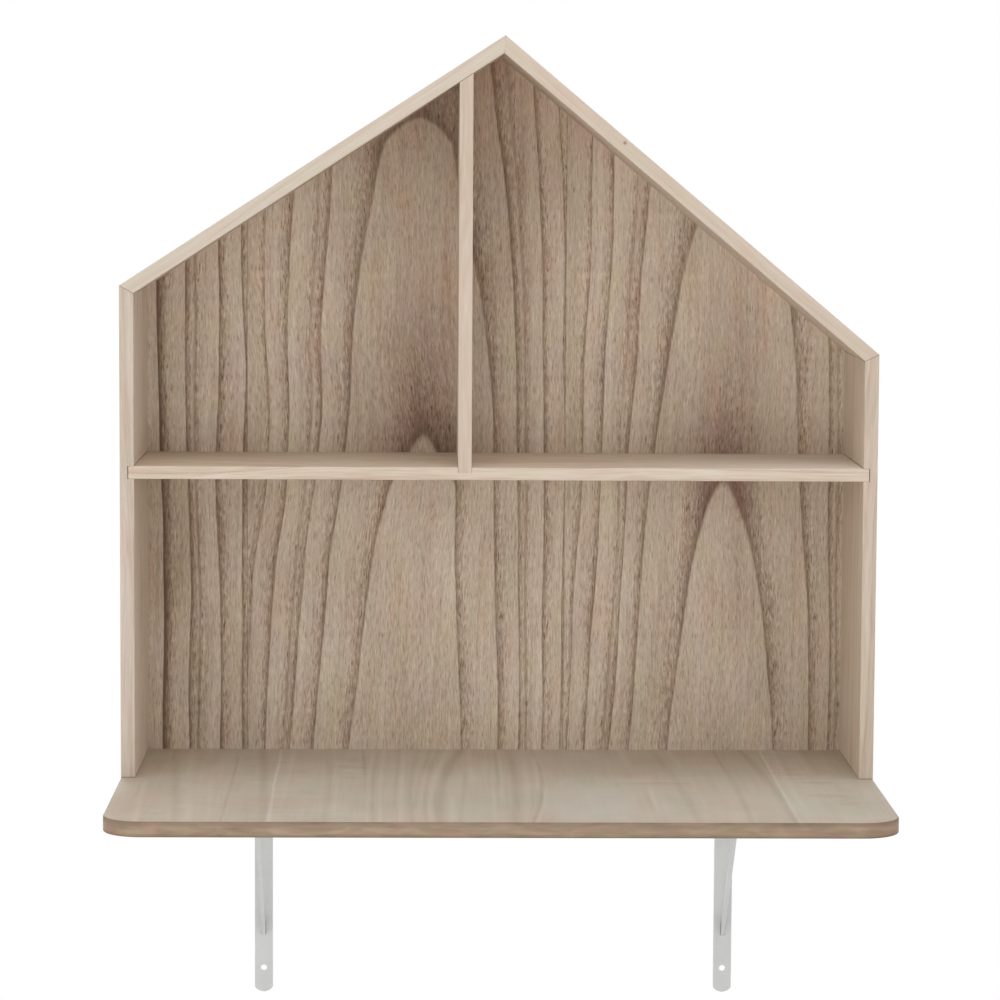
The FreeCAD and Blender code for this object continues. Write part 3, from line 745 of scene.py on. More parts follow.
# The sawn edge is darker at its rims with painted shade where they round over: how far from underside and top
# that begins and ends, and the tone
LOWER_RIM = (0.3, 4.0)
LOWER_RIM_SHADE = 0.8
UPPER_RIM = (6.5, 0.5)
UPPER_RIM_SHADE = 0.86
# A pale, cool cloud in the fourth stave: its middle, half sizes and strength
CLOUD_CENTRE = (92.0, -360.0, 152.0)
CLOUD_SIZE = (52.0, 165.0, 50.0)
CLOUD_SHARE = 0.4
# The cloud's rim: how far out it begins to fade and is gone, 1 being its half sizes
CLOUD_RIM = (0.7, 1.05)
# One pale ripple across the grain: its ends, its depth, how far it reaches round them, and its strength
RIPPLE_ENDS = (118.0, 212.0)
RIPPLE_DEPTH = -212.0
RIPPLE_REACH = 30.0
RIPPLE_GAIN = 0.09


def desk_figure(tree, place, axes):
    """Tone of the desk's seams and figure lines, stronger and weaker along the grain."""
    back, _, front = LINE_DEPTHS
    along = add(tree, RANGE, {0: axes["Y"], 1: back, 2: front, 3: 0.0, 4: 1.0}, clamp=False)
    swing = mottle(tree, place, (60.0, 150.0, 60.0), 2.0, seed=4.0, detail=1.0)
    across = add(tree, MATH, {0: axes["X"], 1: swing}, operation="ADD")
    tones = []
    for at_back, at_middle, at_front, tone, width, start, stop in FIGURE_LINES:
        bend = 2 * (at_back + at_front) - 4 * at_middle
        lean = 4 * at_middle - 3 * at_back - at_front
        path = add(tree, MATH, {0: along, 1: bend, 2: lean}, operation="MULTIPLY_ADD")
        # The swing varies round 1, so the path is moved by as much
        path = add(tree, MATH, {0: path, 1: along, 2: at_back + 1.0}, operation="MULTIPLY_ADD")
        away = add(tree, MATH, {0: across, 1: path}, operation="SUBTRACT")
        away = add(tree, MATH, {0: away}, operation="ABSOLUTE")
        line = add(tree, RANGE, {0: away, 1: 0.0, 2: width, 3: tone - 1.0, 4: 0.0},
                   interpolation_type="SMOOTHSTEP")
        if start < 0.0:
            begin = {0: axes["Y"], 1: start, 2: start - LINE_FADE_OUT, 3: 0.0, 4: 1.0}
            line = product(tree, [line, add(tree, RANGE, begin)])
        if stop > FRONT:
            end = {0: axes["Y"], 1: stop + LINE_FADE_OUT, 2: stop, 3: 1.0, 4: 0.0}
            line = product(tree, [line, add(tree, RANGE, end)])
        tones.append(line)
    figure = tones[0]
    for line in tones[1:]:
        figure = add(tree, MATH, {0: figure, 1: line}, operation="ADD")
    strength = mottle(tree, place, (40.0, 130.0, 40.0), 0.6, seed=10.0, detail=1.0)
    return add(tree, MATH, {0: figure, 1: strength, 2: 1.0}, operation="MULTIPLY_ADD")


def sapwood_wedge(tree, axes):
    """Share of the pale wedge at a point of the desk."""
    width = add(tree, RANGE, {0: axes["Y"], 1: WEDGE_FROM, 2: FRONT, 3: WEDGE_TIP, 4: WEDGE_WIDTH})
    away = add(tree, MATH, {0: axes["X"], 1: STAVES[1][0]}, operation="SUBTRACT")
    share = add(tree, MATH, {0: away, 1: width}, operation="DIVIDE")
    return add(tree, RAMP, {0: share}, stops=[(0.0, 0.0), (0.3, 0.4), (0.75, 0.35), (1.0, 0.0)])


def right_half_light_and_shade(tree, axes):
    """Tone of the desk's right half: darker at the wall with painted shade, paler in front with painted
    light.
    """
    begin, full = RIGHT_HALF
    back, front = RIGHT_HALF_DEPTHS
    share = add(tree, RANGE, {0: axes["X"], 1: begin, 2: full, 3: 0.0, 4: 1.0})
    gain = add(tree, RANGE, {0: axes["Y"], 1: back, 2: front, 3: RIGHT_HALF_GAINS[0], 4: RIGHT_HALF_GAINS[1]})
    return add(tree, MATH, {0: share, 1: gain, 2: 1.0}, operation="MULTIPLY_ADD")


def end_share(tree, axes):
    """How far the brown of the desk's ends shows, by depth: in part at the back, in full in front."""
    back, front = END_DEPTHS
    return add(tree, RANGE, {0: axes["Y"], 1: back, 2: front, 3: END_SHARE_BACK, 4: 1.0})


def end_tone(tree, axes):
    """Tone of the desk toward its two ends, browner than between them."""
    tones = []
    for end, inner, tone in DESK_ENDS:
        tones.append(add(tree, RANGE, {0: axes["X"], 1: end, 2: inner, 3: tone, 4: 1.0}))
    loss = add(tree, MATH, {0: product(tree, tones), 1: 1.0}, operation="SUBTRACT")
    return add(tree, MATH, {0: loss, 1: end_share(tree, axes), 2: 1.0}, operation="MULTIPLY_ADD")


def pale_cloud(tree, place):
    """Share of the pale cloud at a point of the desk, frayed along the grain."""
    away = from_middle(tree, place, CLOUD_CENTRE, CLOUD_SIZE)
    fray = mottle(tree, place, (11.0, 90.0, 30.0), 0.7, seed=14.0)
    away = add(tree, MATH, {0: away, 1: fray}, operation="MULTIPLY")
    full, gone = CLOUD_RIM
    return add(tree, RANGE, {0: away, 1: full, 2: gone, 3: CLOUD_SHARE, 4: 0.0})


def cross_ripple(tree, axes):
    """Tone of the one pale ripple across the grain, with its shade in front of it."""
    left, right = RIPPLE_ENDS
    behind = RIPPLE_DEPTH + RIPPLE_REACH
    before = RIPPLE_DEPTH - RIPPLE_REACH
    ends = product(tree, [
        add(tree, RANGE, {0: axes["X"], 1: left, 2: left + RIPPLE_REACH, 3: 0.0, 4: 1.0}),
        add(tree, RANGE, {0: axes["X"], 1: right - RIPPLE_REACH, 2: right, 3: 1.0, 4: 0.0}),
    ])
    away = add(tree, RANGE, {0: axes["Y"], 1: behind, 2: before, 3: 0.0, 4: 1.0})
    wave = add(tree, RAMP, {0: away}, stops=[
        (0.25, 0.5), (0.40, 0.9), (0.55, 0.5), (0.66, 0.15), (0.95, 0.5),
    ])
    wave = add(tree, MATH, {0: wave, 1: 0.5}, operation="SUBTRACT")
    wave = add(tree, MATH, {0: wave, 1: ends}, operation="MULTIPLY")
    return add(tree, MATH, {0: wave, 1: RIPPLE_GAIN, 2: 1.0}, operation="MULTIPLY_ADD")


def stave_curl(tree, place, curl_share):
    """Tone of the curl: short waves that run across the grain, in patches, as strong as the stave's share."""
    curl = mottle(tree, place, (40.0, 15.0, 40.0), 0.13, seed=6.0, distortion=0.7)
    curl = add(tree, MATH, {0: curl, 1: 1.0}, operation="SUBTRACT")
    patches = mottle(tree, place, (70.0, 90.0, 70.0), 1.0, seed=8.0, detail=1.0)
    patches = add(tree, RANGE, {0: patches, 1: 0.8, 2: 1.3, 3: 0.0, 4: 1.0})
    patches = add(tree, MATH, {0: patches, 1: curl_share}, operation="MULTIPLY")
    return add(tree, MATH, {0: curl, 1: patches, 2: 1.0}, operation="MULTIPLY_ADD")


def sawn_edge(tree, place, axes):
    """Colour of the sawn edge: browner than the top, in soft patches along it, darker at both rims with
    painted shade where they round over.
    """
    low_dark, low_clear = [DESK_UNDER + rise for rise in LOWER_RIM]
    high_clear, high_dark = [DESK_TOP - drop for drop in UPPER_RIM]
    tone = product(tree, [
        mottle(tree, place, (34.0, 34.0, 8.0), 0.24, seed=9.0, distortion=0.6),
        mottle(tree, place, (110.0, 110.0, 4.0), 0.10, seed=13.0),
        # Painted shade along the lower and upper rims
        add(tree, RANGE, {0: axes["Z"], 1: low_dark, 2: low_clear, 3: LOWER_RIM_SHADE, 4: 1.0}),
        add(tree, RANGE, {0: axes["Z"], 1: high_clear, 2: high_dark, 3: 1.0, 4: UPPER_RIM_SHADE}),
    ])
    color = shade_color(tree, tone, ((0.8, "#76614E"), (1.0, "#927C66"), (1.15, "#A69079")))
    return hue_patches(tree, color, place, (30.0, 30.0, 12.0), 12.0, ("#F4FFEA", "#FFFFFF", "#FFF1F3"))


def edge_glued_paulownia():
    """Desk of glued staves, oiled matt: a soft flame figure, curl across it, a browner edge."""
    material, tree = blank_finish("edge_glued_paulownia")
    place = coordinates_mm(tree)
    axes = add(tree, SPLIT, {0: place}).node.outputs
    across = add(tree, MATH, {0: axes["X"], 1: 1 / SPAN, 2: 0.5}, operation="MULTIPLY_ADD")
    stave_stops = [
        (left / SPAN + 0.5, (tone / TONE_TOP, curl, 0.0, 1.0)) for left, tone, curl in STAVES
    ]
    stave = add(tree, RAMP, {0: across}, stops=stave_stops)
    stave.node.color_ramp.interpolation = "CONSTANT"
    chosen = add(tree, SPLIT, {0: stave}).node.outputs
    tone = product(tree, [
        add(tree, MATH, {0: chosen["X"], 1: TONE_TOP}, operation="MULTIPLY"),
        stave_curl(tree, place, chosen["Y"]),
        desk_figure(tree, place, axes),
        cross_ripple(tree, axes),
        mottle(tree, place, (2.0, 110.0, 5.0), 0.028, seed=1.0),
        mottle(tree, place, (11.0, 190.0, 9.0), 0.03, seed=2.0),
        mottle(tree, place, (60.0, 110.0, 60.0), 0.05, seed=3.0, detail=1.0),
        # Painted light and shade by depth
        *[
            add(tree, RANGE, {0: axes["Y"], 1: back, 2: front, 3: tone_back, 4: tone_front})
            for back, front, tone_back, tone_front in DEPTH_LIGHT_AND_SHADE
        ],
        right_half_light_and_shade(tree, axes),
        end_tone(tree, axes),
    ])
    color = shade_color(tree, tone, (
        (0.75, "#917F6F"), (0.91, "#B3A494"), (1.0, "#C5B9AB"), (1.08, "#D1C7BB"), (1.2, "#E2DACF"),
    ))
    color = hue_patches(tree, color, place, (65.0, 100.0, 50.0), 5.0, ("#F8FFF9", "#FDFEFB", "#FFF6F2"))
    for share, code in ((sapwood_wedge(tree, axes), "#D6D1C9"), (pale_cloud(tree, place), "#CDC8BF")):
        color = add(tree, MIX, {0: share, MIX_A: color, MIX_B: hex_color(code)},
                    out=MIX_RESULT, data_type="RGBA")
    # Painted light: the top is cooler in front, where the white light falls, than under the house
    begin, full = COOL_LIGHT_FRONT
    cool_light = add(tree, RANGE, {0: axes["Y"], 1: begin, 2: full, 3: 0.0, 4: 1.0})
    color = tinted(tree, color, cool_light, "#FCFEFF")
    left_end = add(tree, RANGE, {0: axes["X"], 1: DESK_ENDS[0][0], 2: LEFT_END_TINT_TO, 3: 1.0, 4: 0.0})
    color = tinted(tree, color, product(tree, [left_end, end_share(tree, axes)]), "#FFFBF8")
    begin, full = WARM_RIM
    rim = add(tree, RANGE, {0: axes["Y"], 1: begin, 2: full, 3: 0.0, 4: 1.0})
    color = tinted(tree, color, rim, "#FFFAF9")
    top, side = SAWN_FACING
    edge = add(tree, RANGE, {0: facing(tree, "Z"), 1: top, 2: side, 3: 0.0, 4: 1.0})
    color = add(tree, MIX, {0: edge, MIX_A: color, MIX_B: sawn_edge(tree, place, axes)},
                out=MIX_RESULT, data_type="RGBA")
    roughness = add(tree, RANGE, {0: tone, 1: 0.8, 2: 1.05, 3: 0.7, 4: 0.52})
    finish_surface(tree, color, roughness, tone, 0.15, IOR=1.5)
    return material


def beech():
    """Bare beech of the dowels and loose tongues: warm tan with short dark flecks."""
    material, tree = blank_finish("bare_beech")
    place = coordinates_mm(tree)
    fleck = mottle(tree, place, (0.8, 0.8, 4.0), 0.35, detail=1.0)
    tone = product(tree, [fleck, mottle(tree, place, (6.0, 6.0, 40.0), 0.1)])
    color = shade_color(tree, tone, ((0.75, "#A9835C"), (0.975, "#CBA47A"), (1.2, "#DDBB94")))
    roughness = add(tree, RANGE, {0: tone, 1: 0.8, 2: 1.2, 3: 0.7, 4: 0.55})
    finish_surface(tree, color, roughness, tone, 0.1, IOR=1.5)
    return material


def grey_coated_steel():
    """Powder-coated steel, satin light grey: a fine orange peel breaks up the highlights."""
    material, tree = blank_finish("satin_grey_powder_coat")
    place = coordinates_mm(tree)
    # The peel is a tenth of this size on the real coat and is drawn coarser so that it shows
    peel = mottle(tree, place, (1.6, 1.6, 1.6), 1.0, detail=1.0)
    cloud = mottle(tree, place, (30.0, 30.0, 60.0), 0.5)
    color = shade_color(tree, cloud, ((0.8, "#C3C5C5"), (1.2, "#CBCDCD")))
    roughness = add(tree, RANGE, {0: peel, 1: 0.6, 2: 1.4, 3: 0.36, 4: 0.46})
    finish_surface(tree, color, roughness, peel, 0.04, IOR=1.5)
    return material


def zinc_plated_steel():
    """Zinc-plated steel of the screws: bright, slightly blue, dulled in patches."""
    material, tree = blank_finish("zinc_plated_steel")
    place = coordinates_mm(tree)
    cloud = mottle(tree, place, (1.2, 1.2, 1.2), 1.0)
    color = shade_color(tree, cloud, ((0.6, "#A9AAA6"), (1.4, "#CFD2D3")))
    roughness = add(tree, RANGE, {0: cloud, 1: 0.6, 2: 1.4, 3: 0.45, 4: 0.28})
    finish_surface(tree, color, roughness, cloud, 0.02, Metallic=1.0)
    return material


def roof_turn(node):
    """The angle about Y that lays a roof board's slope along the grain."""
    low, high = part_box(node)
    return math.atan2(high.x - low.x, high.z - low.z)


# A pin knot on the front edge of the right roof board
ROOF_KNOT = (129.5, -195.0, 825.6)
# Painted light pales the shelf's faces over this stretch, toward the right, where the low right roof shades
# them
SHELF_PAINTED_LIGHT_END = (120.0, 360.0)


def dress_frame():
    """Gives every node that stays its finish."""
    left_turn = -roof_turn("left_roof_panel")
    right_turn = roof_turn("right_roof_panel")
    # Each board: turn of its grain, heart of its rings, offset, strength of figure, tints of edges and faces;
    # then a pin knot, and the stretch of a painted-light end
    boards = {
        "left_side_panel": (0.0, (85.0, -90.0, 0.0), (400.0, 0.0, 0.0), 0.75, "#E6E5E6", "#FFFFFF"),
        "right_side_panel": (0.0, (-70.0, -120.0, 0.0), (-400.0, 0.0, 300.0), 0.75, "#E4E1DE", "#F8F6F4"),
        "left_roof_panel": (left_turn, (80.0, -90.0, 0.0), (0.0, 0.0, 0.0), 0.4, "#EDEFF0", "#F4F4F4"),
        "right_roof_panel": (
            right_turn, (-80.0, -120.0, 0.0), (0.0, 0.0, 500.0), 0.42, "#EBE9E8", "#F8F8F7", ROOF_KNOT,
        ),
        "shelf_board": (
            math.pi / 2, (60.0, -100.0, 0.0), (0.0, 0.0, 900.0), 0.9, "#F0EDEB", "#F6F3F0",
            None, SHELF_PAINTED_LIGHT_END,
        ),
        "divider_board": (0.0, (-75.0, -80.0, 0.0), (36.0, 0.0, 1200.0), 0.6, "#E9E5E3", "#F4F4F4"),
    }
    finishes = {
        "paulownia_veneer": veneer(),
        "edge_glued_paulownia": edge_glued_paulownia(),
        "beech": beech(),
        "grey_coated_steel": grey_coated_steel(),
        "zinc_plated_screws": zinc_plated_steel(),
    }
    for part in frame["record"]["subparts"]:
        name = part["node"]
        if name in boards:
            finish = sanded_paulownia(name, *boards[name])
        else:
            finish = finishes[part["material_slot"]]
        mesh = nodes[name].data
        mesh.materials.clear()
        mesh.materials.append(finish)
    return finishes


finishes = dress_frame()


# Kinds of geometry node
BOOLEAN = "GeometryNodeMeshBoolean"
CONE = "GeometryNodeMeshCone"
CUBE = "GeometryNodeMeshCube"
CYLINDER = "GeometryNodeMeshCylinder"
JOIN_SHAPES = "GeometryNodeJoinGeometry"
MOVE = "GeometryNodeTransform"
SPHERE = "GeometryNodeMeshUVSphere"
SPIRAL = "GeometryNodeCurveSpiral"
SWEEP = "GeometryNodeCurveToMesh"

# Sizes that a set of screws is made from
SCREW_INPUTS = {
    "Points": "NodeSocketGeometry", "Head Radius": "NodeSocketFloat", "Head Height": "NodeSocketFloat",
    "Shank Radius": "NodeSocketFloat", "Length": "NodeSocketFloat", "Tilt": "NodeSocketVector",
    "Spin Axis": "NodeSocketVector", "Finish": "NodeSocketMaterial",
}
# Steps of a screw's round stretches, and the angle past which an edge stays sharp
SCREW_SIDES = 24
DOME_RINGS = 12
THREAD_STEPS = 16
SHARP_ANGLE = math.radians(35.0)
# In shank radii: core of the thread, pitch, plain neck and point
THREAD_CORE = 0.78
THREAD_PITCH = 0.9
PLAIN_NECK = 3.0
POINT_LENGTH = 2.0
# Arm and wing of the cross in head radii, and its depth in head heights
CROSS_ARM = 0.62
CROSS_WING = 0.14
CROSS_DEPTH = 0.55
# A countersunk screw's neck starts inside its head, at this share of the head's height
NECK_START = 0.9
# The block that halves a pan head's dome, in the dome's radii
BLOCK_SIZE = 4.0
# In metres: radius of a screw's tip, and how close two corners of a mesh are one
TIP_RADIUS = 0.0001
WELD = 1e-6
SPIN_SEED = 7


def raised(tree, shape, height):
    """A shape moved up by a height."""
    return add(tree, MOVE, {"Geometry": shape, "Translation": add(tree, JOIN, {"Z": height})})


def screw_head(tree, pan, head, shank, height):
    """Half a dome, or a countersunk cone, with a cross sunk into its outer face."""
    if pan:
        dome = add(tree, SPHERE, {"Segments": SCREW_SIDES, "Rings": DOME_RINGS, "Radius": 1.0})
        shape = add(tree, JOIN, {"X": head, "Y": head, "Z": height})
        dome = add(tree, MOVE, {"Geometry": dome, "Scale": shape})
        size = add(tree, VECTOR, {0: shape, "Scale": BLOCK_SIZE}, operation="SCALE")
        lift = add(tree, MATH, {0: height, 1: BLOCK_SIZE / 2}, operation="MULTIPLY")
        half = raised(tree, add(tree, CUBE, {"Size": size}), lift)
        solid = add(tree, BOOLEAN, {"Mesh 1": dome, "Mesh 2": half}, operation="DIFFERENCE", solver="EXACT")
        face = add(tree, MATH, {0: height, 1: -1.0}, operation="MULTIPLY")
    else:
        solid = add(tree, CONE, {
            "Vertices": SCREW_SIDES, "Radius Top": shank, "Radius Bottom": head, "Depth": height,
        })
        face = 0.0
    sunk = add(tree, MATH, {0: height, 1: 2 * CROSS_DEPTH}, operation="MULTIPLY")
    arm = add(tree, MATH, {0: head, 1: 2 * CROSS_ARM}, operation="MULTIPLY")
    wing = add(tree, MATH, {0: head, 1: 2 * CROSS_WING}, operation="MULTIPLY")
    for size in ({"X": arm, "Y": wing, "Z": sunk}, {"X": wing, "Y": arm, "Z": sunk}):
        slot = raised(tree, add(tree, CUBE, {"Size": add(tree, JOIN, size)}), face)
        solid = add(tree, BOOLEAN, {"Mesh 1": solid, "Mesh 2": slot}, operation="DIFFERENCE", solver="EXACT")
    return solid


def screw_shaft(tree, pan, shank, height, length):
    """Neck, core and point of a screw, one above the other, and its thread."""
    neck_start = 0.0 if pan else add(tree, MATH, {0: height, 1: NECK_START}, operation="MULTIPLY")
    neck_end = add(tree, MATH, {0: shank, 1: PLAIN_NECK, 2: height}, operation="MULTIPLY_ADD")
    core = add(tree, MATH, {0: shank, 1: THREAD_CORE}, operation="MULTIPLY")
    point_from = add(tree, MATH, {0: shank, 1: -POINT_LENGTH, 2: length}, operation="MULTIPLY_ADD")
    pieces = []
    for radius, low, high in ((shank, neck_start, neck_end), (core, neck_end, point_from)):
        depth = add(tree, MATH, {0: high, 1: low}, operation="SUBTRACT")
        middle = add(tree, MATH, {0: high, 1: low}, operation="ADD")
        middle = add(tree, MATH, {0: middle, 1: 0.5}, operation="MULTIPLY")
        rod = add(tree, CYLINDER, {"Vertices": SCREW_SIDES, "Radius": radius, "Depth": depth})
        pieces.append(raised(tree, rod, middle))
    depth = add(tree, MATH, {0: shank, 1: POINT_LENGTH}, operation="MULTIPLY")
    point = add(tree, CONE, {
        "Vertices": SCREW_SIDES, "Radius Top": TIP_RADIUS, "Radius Bottom": core, "Depth": depth,
    })
    pieces.append(raised(tree, point, point_from))

    # Thread: a thin three-sided rib wound from neck to point, no wider than the shank
    rib = add(tree, MATH, {0: shank, 1: (1 - THREAD_CORE) / 2}, operation="MULTIPLY")
    crest = add(tree, MATH, {0: shank, 1: (1 + THREAD_CORE) / 2}, operation="MULTIPLY")
    run = add(tree, MATH, {0: point_from, 1: neck_end}, operation="SUBTRACT")
    pitch = add(tree, MATH, {0: shank, 1: THREAD_PITCH}, operation="MULTIPLY")
    turns = add(tree, MATH, {0: run, 1: pitch}, operation="DIVIDE")
    path = add(tree, SPIRAL, {
        "Resolution": THREAD_STEPS, "Rotations": turns,
        "Start Radius": crest, "End Radius": crest, "Height": run,
    })
    profile = add(tree, "GeometryNodeCurvePrimitiveCircle", {"Resolution": 3, "Radius": rib})
    thread = add(tree, SWEEP, {"Curve": path, "Profile Curve": profile, "Fill Caps": True})
    pieces.append(raised(tree, thread, neck_end))
    return pieces


def screw_nodes(pan):
    """Nodes that drive a cross-head screw up through every point: pan-headed, or countersunk to its face."""
    tree = bpy.data.node_groups.new("pan_screws" if pan else "countersunk_screws", "GeometryNodeTree")
    for name, kind in SCREW_INPUTS.items():
        tree.interface.new_socket(name=name, in_out="INPUT", socket_type=kind)
    tree.interface.new_socket(name="Screws", in_out="OUTPUT", socket_type="NodeSocketGeometry")
    given = add(tree, "NodeGroupInput").node.outputs
    shank = given["Shank Radius"]
    height = given["Head Height"]
    pieces = [
        screw_head(tree, pan, given["Head Radius"], shank, height),
        *screw_shaft(tree, pan, shank, height, given["Length"]),
    ]
    screw = add(tree, JOIN_SHAPES)
    for piece in reversed(pieces):
        tree.links.new(piece, screw.node.inputs[0])

    # Every screw stops at its own angle
    angle = add(tree, "FunctionNodeRandomValue", {2: 0.0, 3: math.tau, "Seed": SPIN_SEED}, out=1)
    spin = add(tree, VECTOR, {0: given["Spin Axis"], "Scale": angle}, operation="SCALE")
    stand = add(tree, VECTOR, {0: given["Tilt"], 1: spin}, operation="ADD")
    stand = add(tree, "FunctionNodeEulerToRotation", {0: stand})
    placed = add(tree, "GeometryNodeInstanceOnPoints", {
        "Points": given["Points"], "Instance": screw, "Rotation": stand,
    })
    placed = add(tree, "GeometryNodeRealizeInstances", {0: placed})
    bend = add(tree, "GeometryNodeInputMeshEdgeAngle")
    sharp = add(tree, MATH, {0: bend, 1: SHARP_ANGLE}, operation="GREATER_THAN")
    placed = add(tree, "GeometryNodeSetShadeSmooth", {0: placed, "Shade Smooth": True}, domain="FACE")
    placed = add(tree, "GeometryNodeSetShadeSmooth", {
        0: placed, "Selection": sharp, "Shade Smooth": False,
    }, domain="EDGE")
    placed = add(tree, "GeometryNodeSetMaterial", {0: placed, "Material": given["Finish"]})
    add(tree, "NodeGroupOutput", {0: placed})
    return tree


def screw_boxes(node):
    """Lowest and highest corner of every screw in a CAD node."""
    shape = bmesh.new()
    shape.from_mesh(nodes[node].data)
    bmesh.ops.remove_doubles(shape, verts=shape.verts, dist=WELD)
    waiting = set(shape.verts)
    boxes = []
    while waiting:
        reached = [waiting.pop()]
        for vert in reached:
            near = {edge.other_vert(vert) for edge in vert.link_edges} & waiting
            waiting -= near
            reached.extend(near)
        places = [vert.co for vert in reached]
        low = Vector([min(place[axis] for place in places) for axis in range(3)])
        high = Vector([max(place[axis] for place in places) for axis in range(3)])
        boxes.append((low, high))
    shape.free()
    return sorted(boxes, key=lambda box: tuple(box[0]))


def make_screws(node, tree, finish, shank, pan_height, level):
    """Replaces a node's plain screws: driven up, or into the frame from behind where level is set."""
    boxes = screw_boxes(node)
    low, high = boxes[0]
    head_radius = (high.x - low.x) / 2
    if level:
        places = [((a.x + b.x) / 2, b.y, (a.z + b.z) / 2) for a, b in boxes]
        length = high.y - low.y
        tilt, spin = (math.pi / 2, 0.0, 0.0), (0.0, -1.0, 0.0)
    else:
        places = [((a.x + b.x) / 2, (a.y + b.y) / 2, a.z + pan_height) for a, b in boxes]
        length = high.z - low.z - pan_height
        tilt, spin = (0.0, 0.0, 0.0), (0.0, 0.0, 1.0)
    mesh = bpy.data.meshes.new(node + "_places")
    mesh.from_pydata(places, [], [])
    holder = bpy.data.objects.new(node + "_places", mesh)
    bpy.context.scene.collection.objects.link(holder)
    modifier = holder.modifiers.new("screws", "NODES")
    modifier.node_group = tree
    sizes = {
        "Head Radius": head_radius, "Head Height": pan_height or head_radius - shank,
        "Shank Radius": shank, "Length": length, "Tilt": tilt, "Spin Axis": spin, "Finish": finish,
    }
    for item in tree.interface.items_tree:
        if item.in_out == "INPUT" and item.name in sizes:
            modifier[item.identifier] = sizes[item.name]
    bpy.context.view_layer.update()
    made = bpy.data.meshes.new_from_object(holder.evaluated_get(bpy.context.evaluated_depsgraph_get()))
    bpy.data.objects.remove(holder)
    piece = bpy.data.objects.new("threaded_" + node, made)
    bpy.context.scene.collection.objects.link(piece)
    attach(piece, "root")
    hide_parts(node)


# Each set of screws: shank radius and height of a pan head in metres, and whether it is driven level
SCREW_SETS = {
    "left_foot_screws": (0.0020, 0.0, False),
    "right_foot_screws": (0.0020, 0.0, False),
    "back_panel_screws": (0.00125, 0.0, True),
    "left_bracket_screws": (0.0020, 0.0026, False),
    "right_bracket_screws": (0.0020, 0.0026, False),
}
screw_trees = {pan: screw_nodes(pan) for pan in (False, True)}
for node, (shank, pan_height, level) in SCREW_SETS.items():
    make_screws(node, screw_trees[pan_height > 0], finishes["zinc_plated_screws"], shank, pan_height, level)


# Room, in metres: a pale floor that ends below the camera's view, a white world and five softboxes
FLOOR_LEVEL = -0.40
FLOOR_FRONT = -3.5
FLOOR_BACK = 0.95
FLOOR_HALF_WIDTH = 2.6
# How much the floor glows for the camera alone, and how much light the white world gives
FLOOR_GLOW = 0.35
WORLD_LIGHT = 0.68
# Each softbox: direction from the point it aims at, distance, share of full light, size
AIM = Vector((0.0, -0.1, 0.45))
SOFTBOXES = {
    "front": ((-0.06, -1.0, -0.08), 3.2, 0.155, 1.2),
    "left_side": ((-0.72, -0.69, 0.06), 3.2, 0.125, 1.5),
    "right_side": ((0.72, -0.69, 0.04), 3.2, 0.09, 1.5),
    "overhead": ((0.0, -0.35, 0.94), 2.4, 0.31, 1.6),
    "rear_fill": ((-0.45, 1.0, 0.55), 3.0, 0.25, 1.8),
}
# Camera of the photograph: sensor and lens in millimetres, place in metres, turn in degrees
SENSOR = 36.0
LENS = 132.316
CAMERA_PLACE = (-0.07627, -4.05709, 0.81941)
CAMERA_TURN = (84.5327, -0.3257, -1.1114)


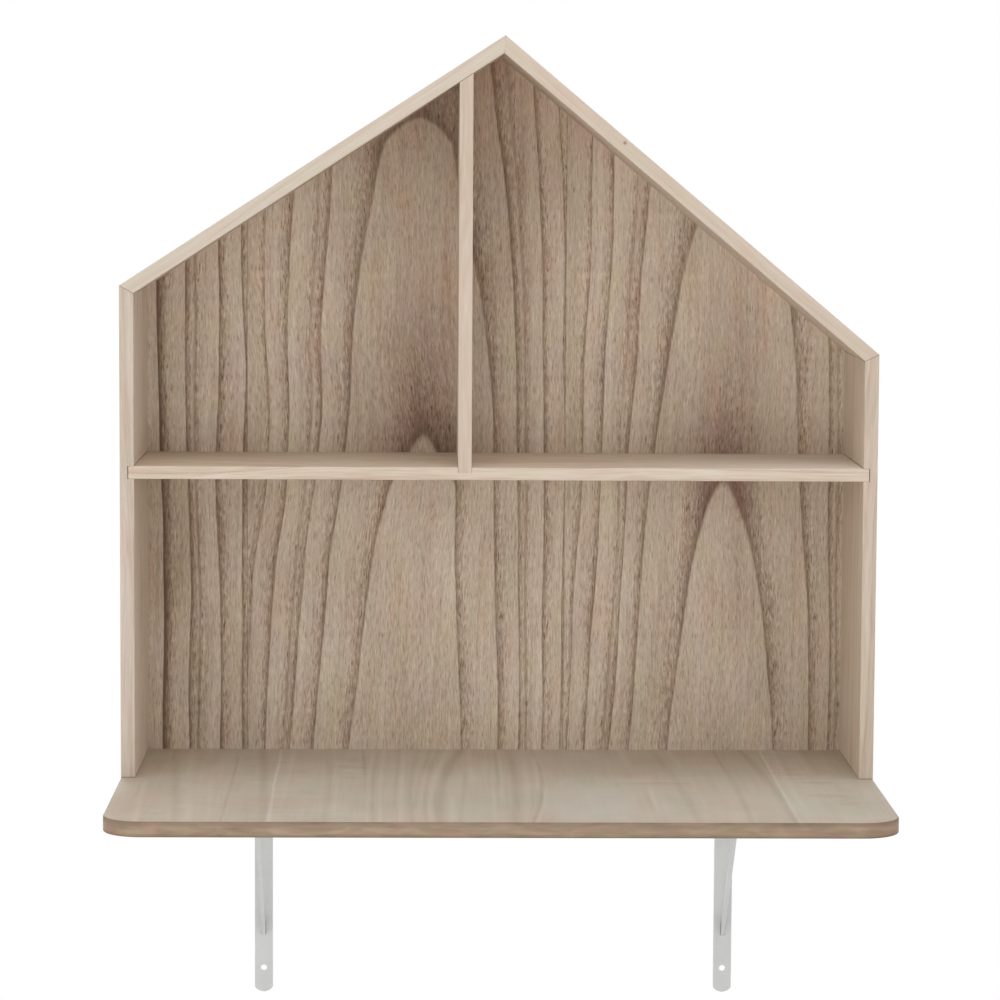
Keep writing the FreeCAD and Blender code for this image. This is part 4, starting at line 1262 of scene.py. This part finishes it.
def make_floor():
    """Pale floor, lifted to near white for the camera, with the shadow left on it."""
    mesh = bpy.data.meshes.new("floor")
    corners = [
        (-FLOOR_HALF_WIDTH, FLOOR_FRONT, FLOOR_LEVEL),
        (FLOOR_HALF_WIDTH, FLOOR_FRONT, FLOOR_LEVEL),
        (FLOOR_HALF_WIDTH, FLOOR_BACK, FLOOR_LEVEL),
        (-FLOOR_HALF_WIDTH, FLOOR_BACK, FLOOR_LEVEL),
    ]
    mesh.from_pydata(corners, [], [(0, 1, 2, 3)])
    material, tree = blank_finish("pale_floor")
    seen = add(tree, "ShaderNodeLightPath", out="Is Camera Ray")
    glow = add(tree, MATH, {0: seen, 1: FLOOR_GLOW}, operation="MULTIPLY")
    shader = add(tree, BSDF, {
        "Base Color": hex_color("#F2F2F0"), "Roughness": 0.9,
        "Emission Color": (1.0, 1.0, 1.0, 1.0), "Emission Strength": glow,
    })
    add(tree, OUTPUT, {"Surface": shader})
    mesh.materials.append(material)
    floor = bpy.data.objects.new("floor", mesh)
    bpy.context.scene.collection.objects.link(floor)


def make_world(ambient):
    """White behind the object and in its reflections, softer as light."""
    world = bpy.data.worlds.new("studio")
    world.use_nodes = True
    tree = world.node_tree
    tree.nodes.clear()
    rays = add(tree, "ShaderNodeLightPath").node.outputs
    seen = add(tree, MATH, {0: rays["Is Camera Ray"], 1: rays["Is Glossy Ray"]}, operation="MAXIMUM")
    seen = add(tree, MATH, {0: seen, 1: rays["Is Transmission Ray"]}, operation="MAXIMUM")
    strength = add(tree, RANGE, {0: seen, 3: ambient, 4: 1.0})
    light = add(tree, "ShaderNodeBackground", {"Color": (1.0, 1.0, 1.0, 1.0), "Strength": strength})
    add(tree, "ShaderNodeOutputWorld", {"Surface": light})
    bpy.context.scene.world = world


def make_softbox(name, direction, distance, share, size):
    """A square lamp that lights a surface facing it by the given share of full light."""
    lamp = bpy.data.lights.new(name, "AREA")
    lamp.size = size
    lamp.energy = share * math.pi ** 2 * distance ** 2
    holder = bpy.data.objects.new(name, lamp)
    away = Vector(direction).normalized()
    holder.location = AIM + away * distance
    holder.rotation_euler = away.to_track_quat("Z", "Y").to_euler()
    holder.visible_camera = False
    bpy.context.scene.collection.objects.link(holder)


def make_camera():
    """The photograph's own view."""
    camera = bpy.data.cameras.new("camera")
    camera.sensor_width = SENSOR
    camera.lens = LENS
    holder = bpy.data.objects.new("camera", camera)
    holder.location = CAMERA_PLACE
    holder.rotation_euler = [math.radians(angle) for angle in CAMERA_TURN]
    bpy.context.scene.collection.objects.link(holder)
    bpy.context.scene.camera = holder


make_floor()
make_world(WORLD_LIGHT)
for name, setting in SOFTBOXES.items():
    make_softbox(name, *setting)
make_camera()
bpy.context.scene.view_settings.view_transform = "Standard"
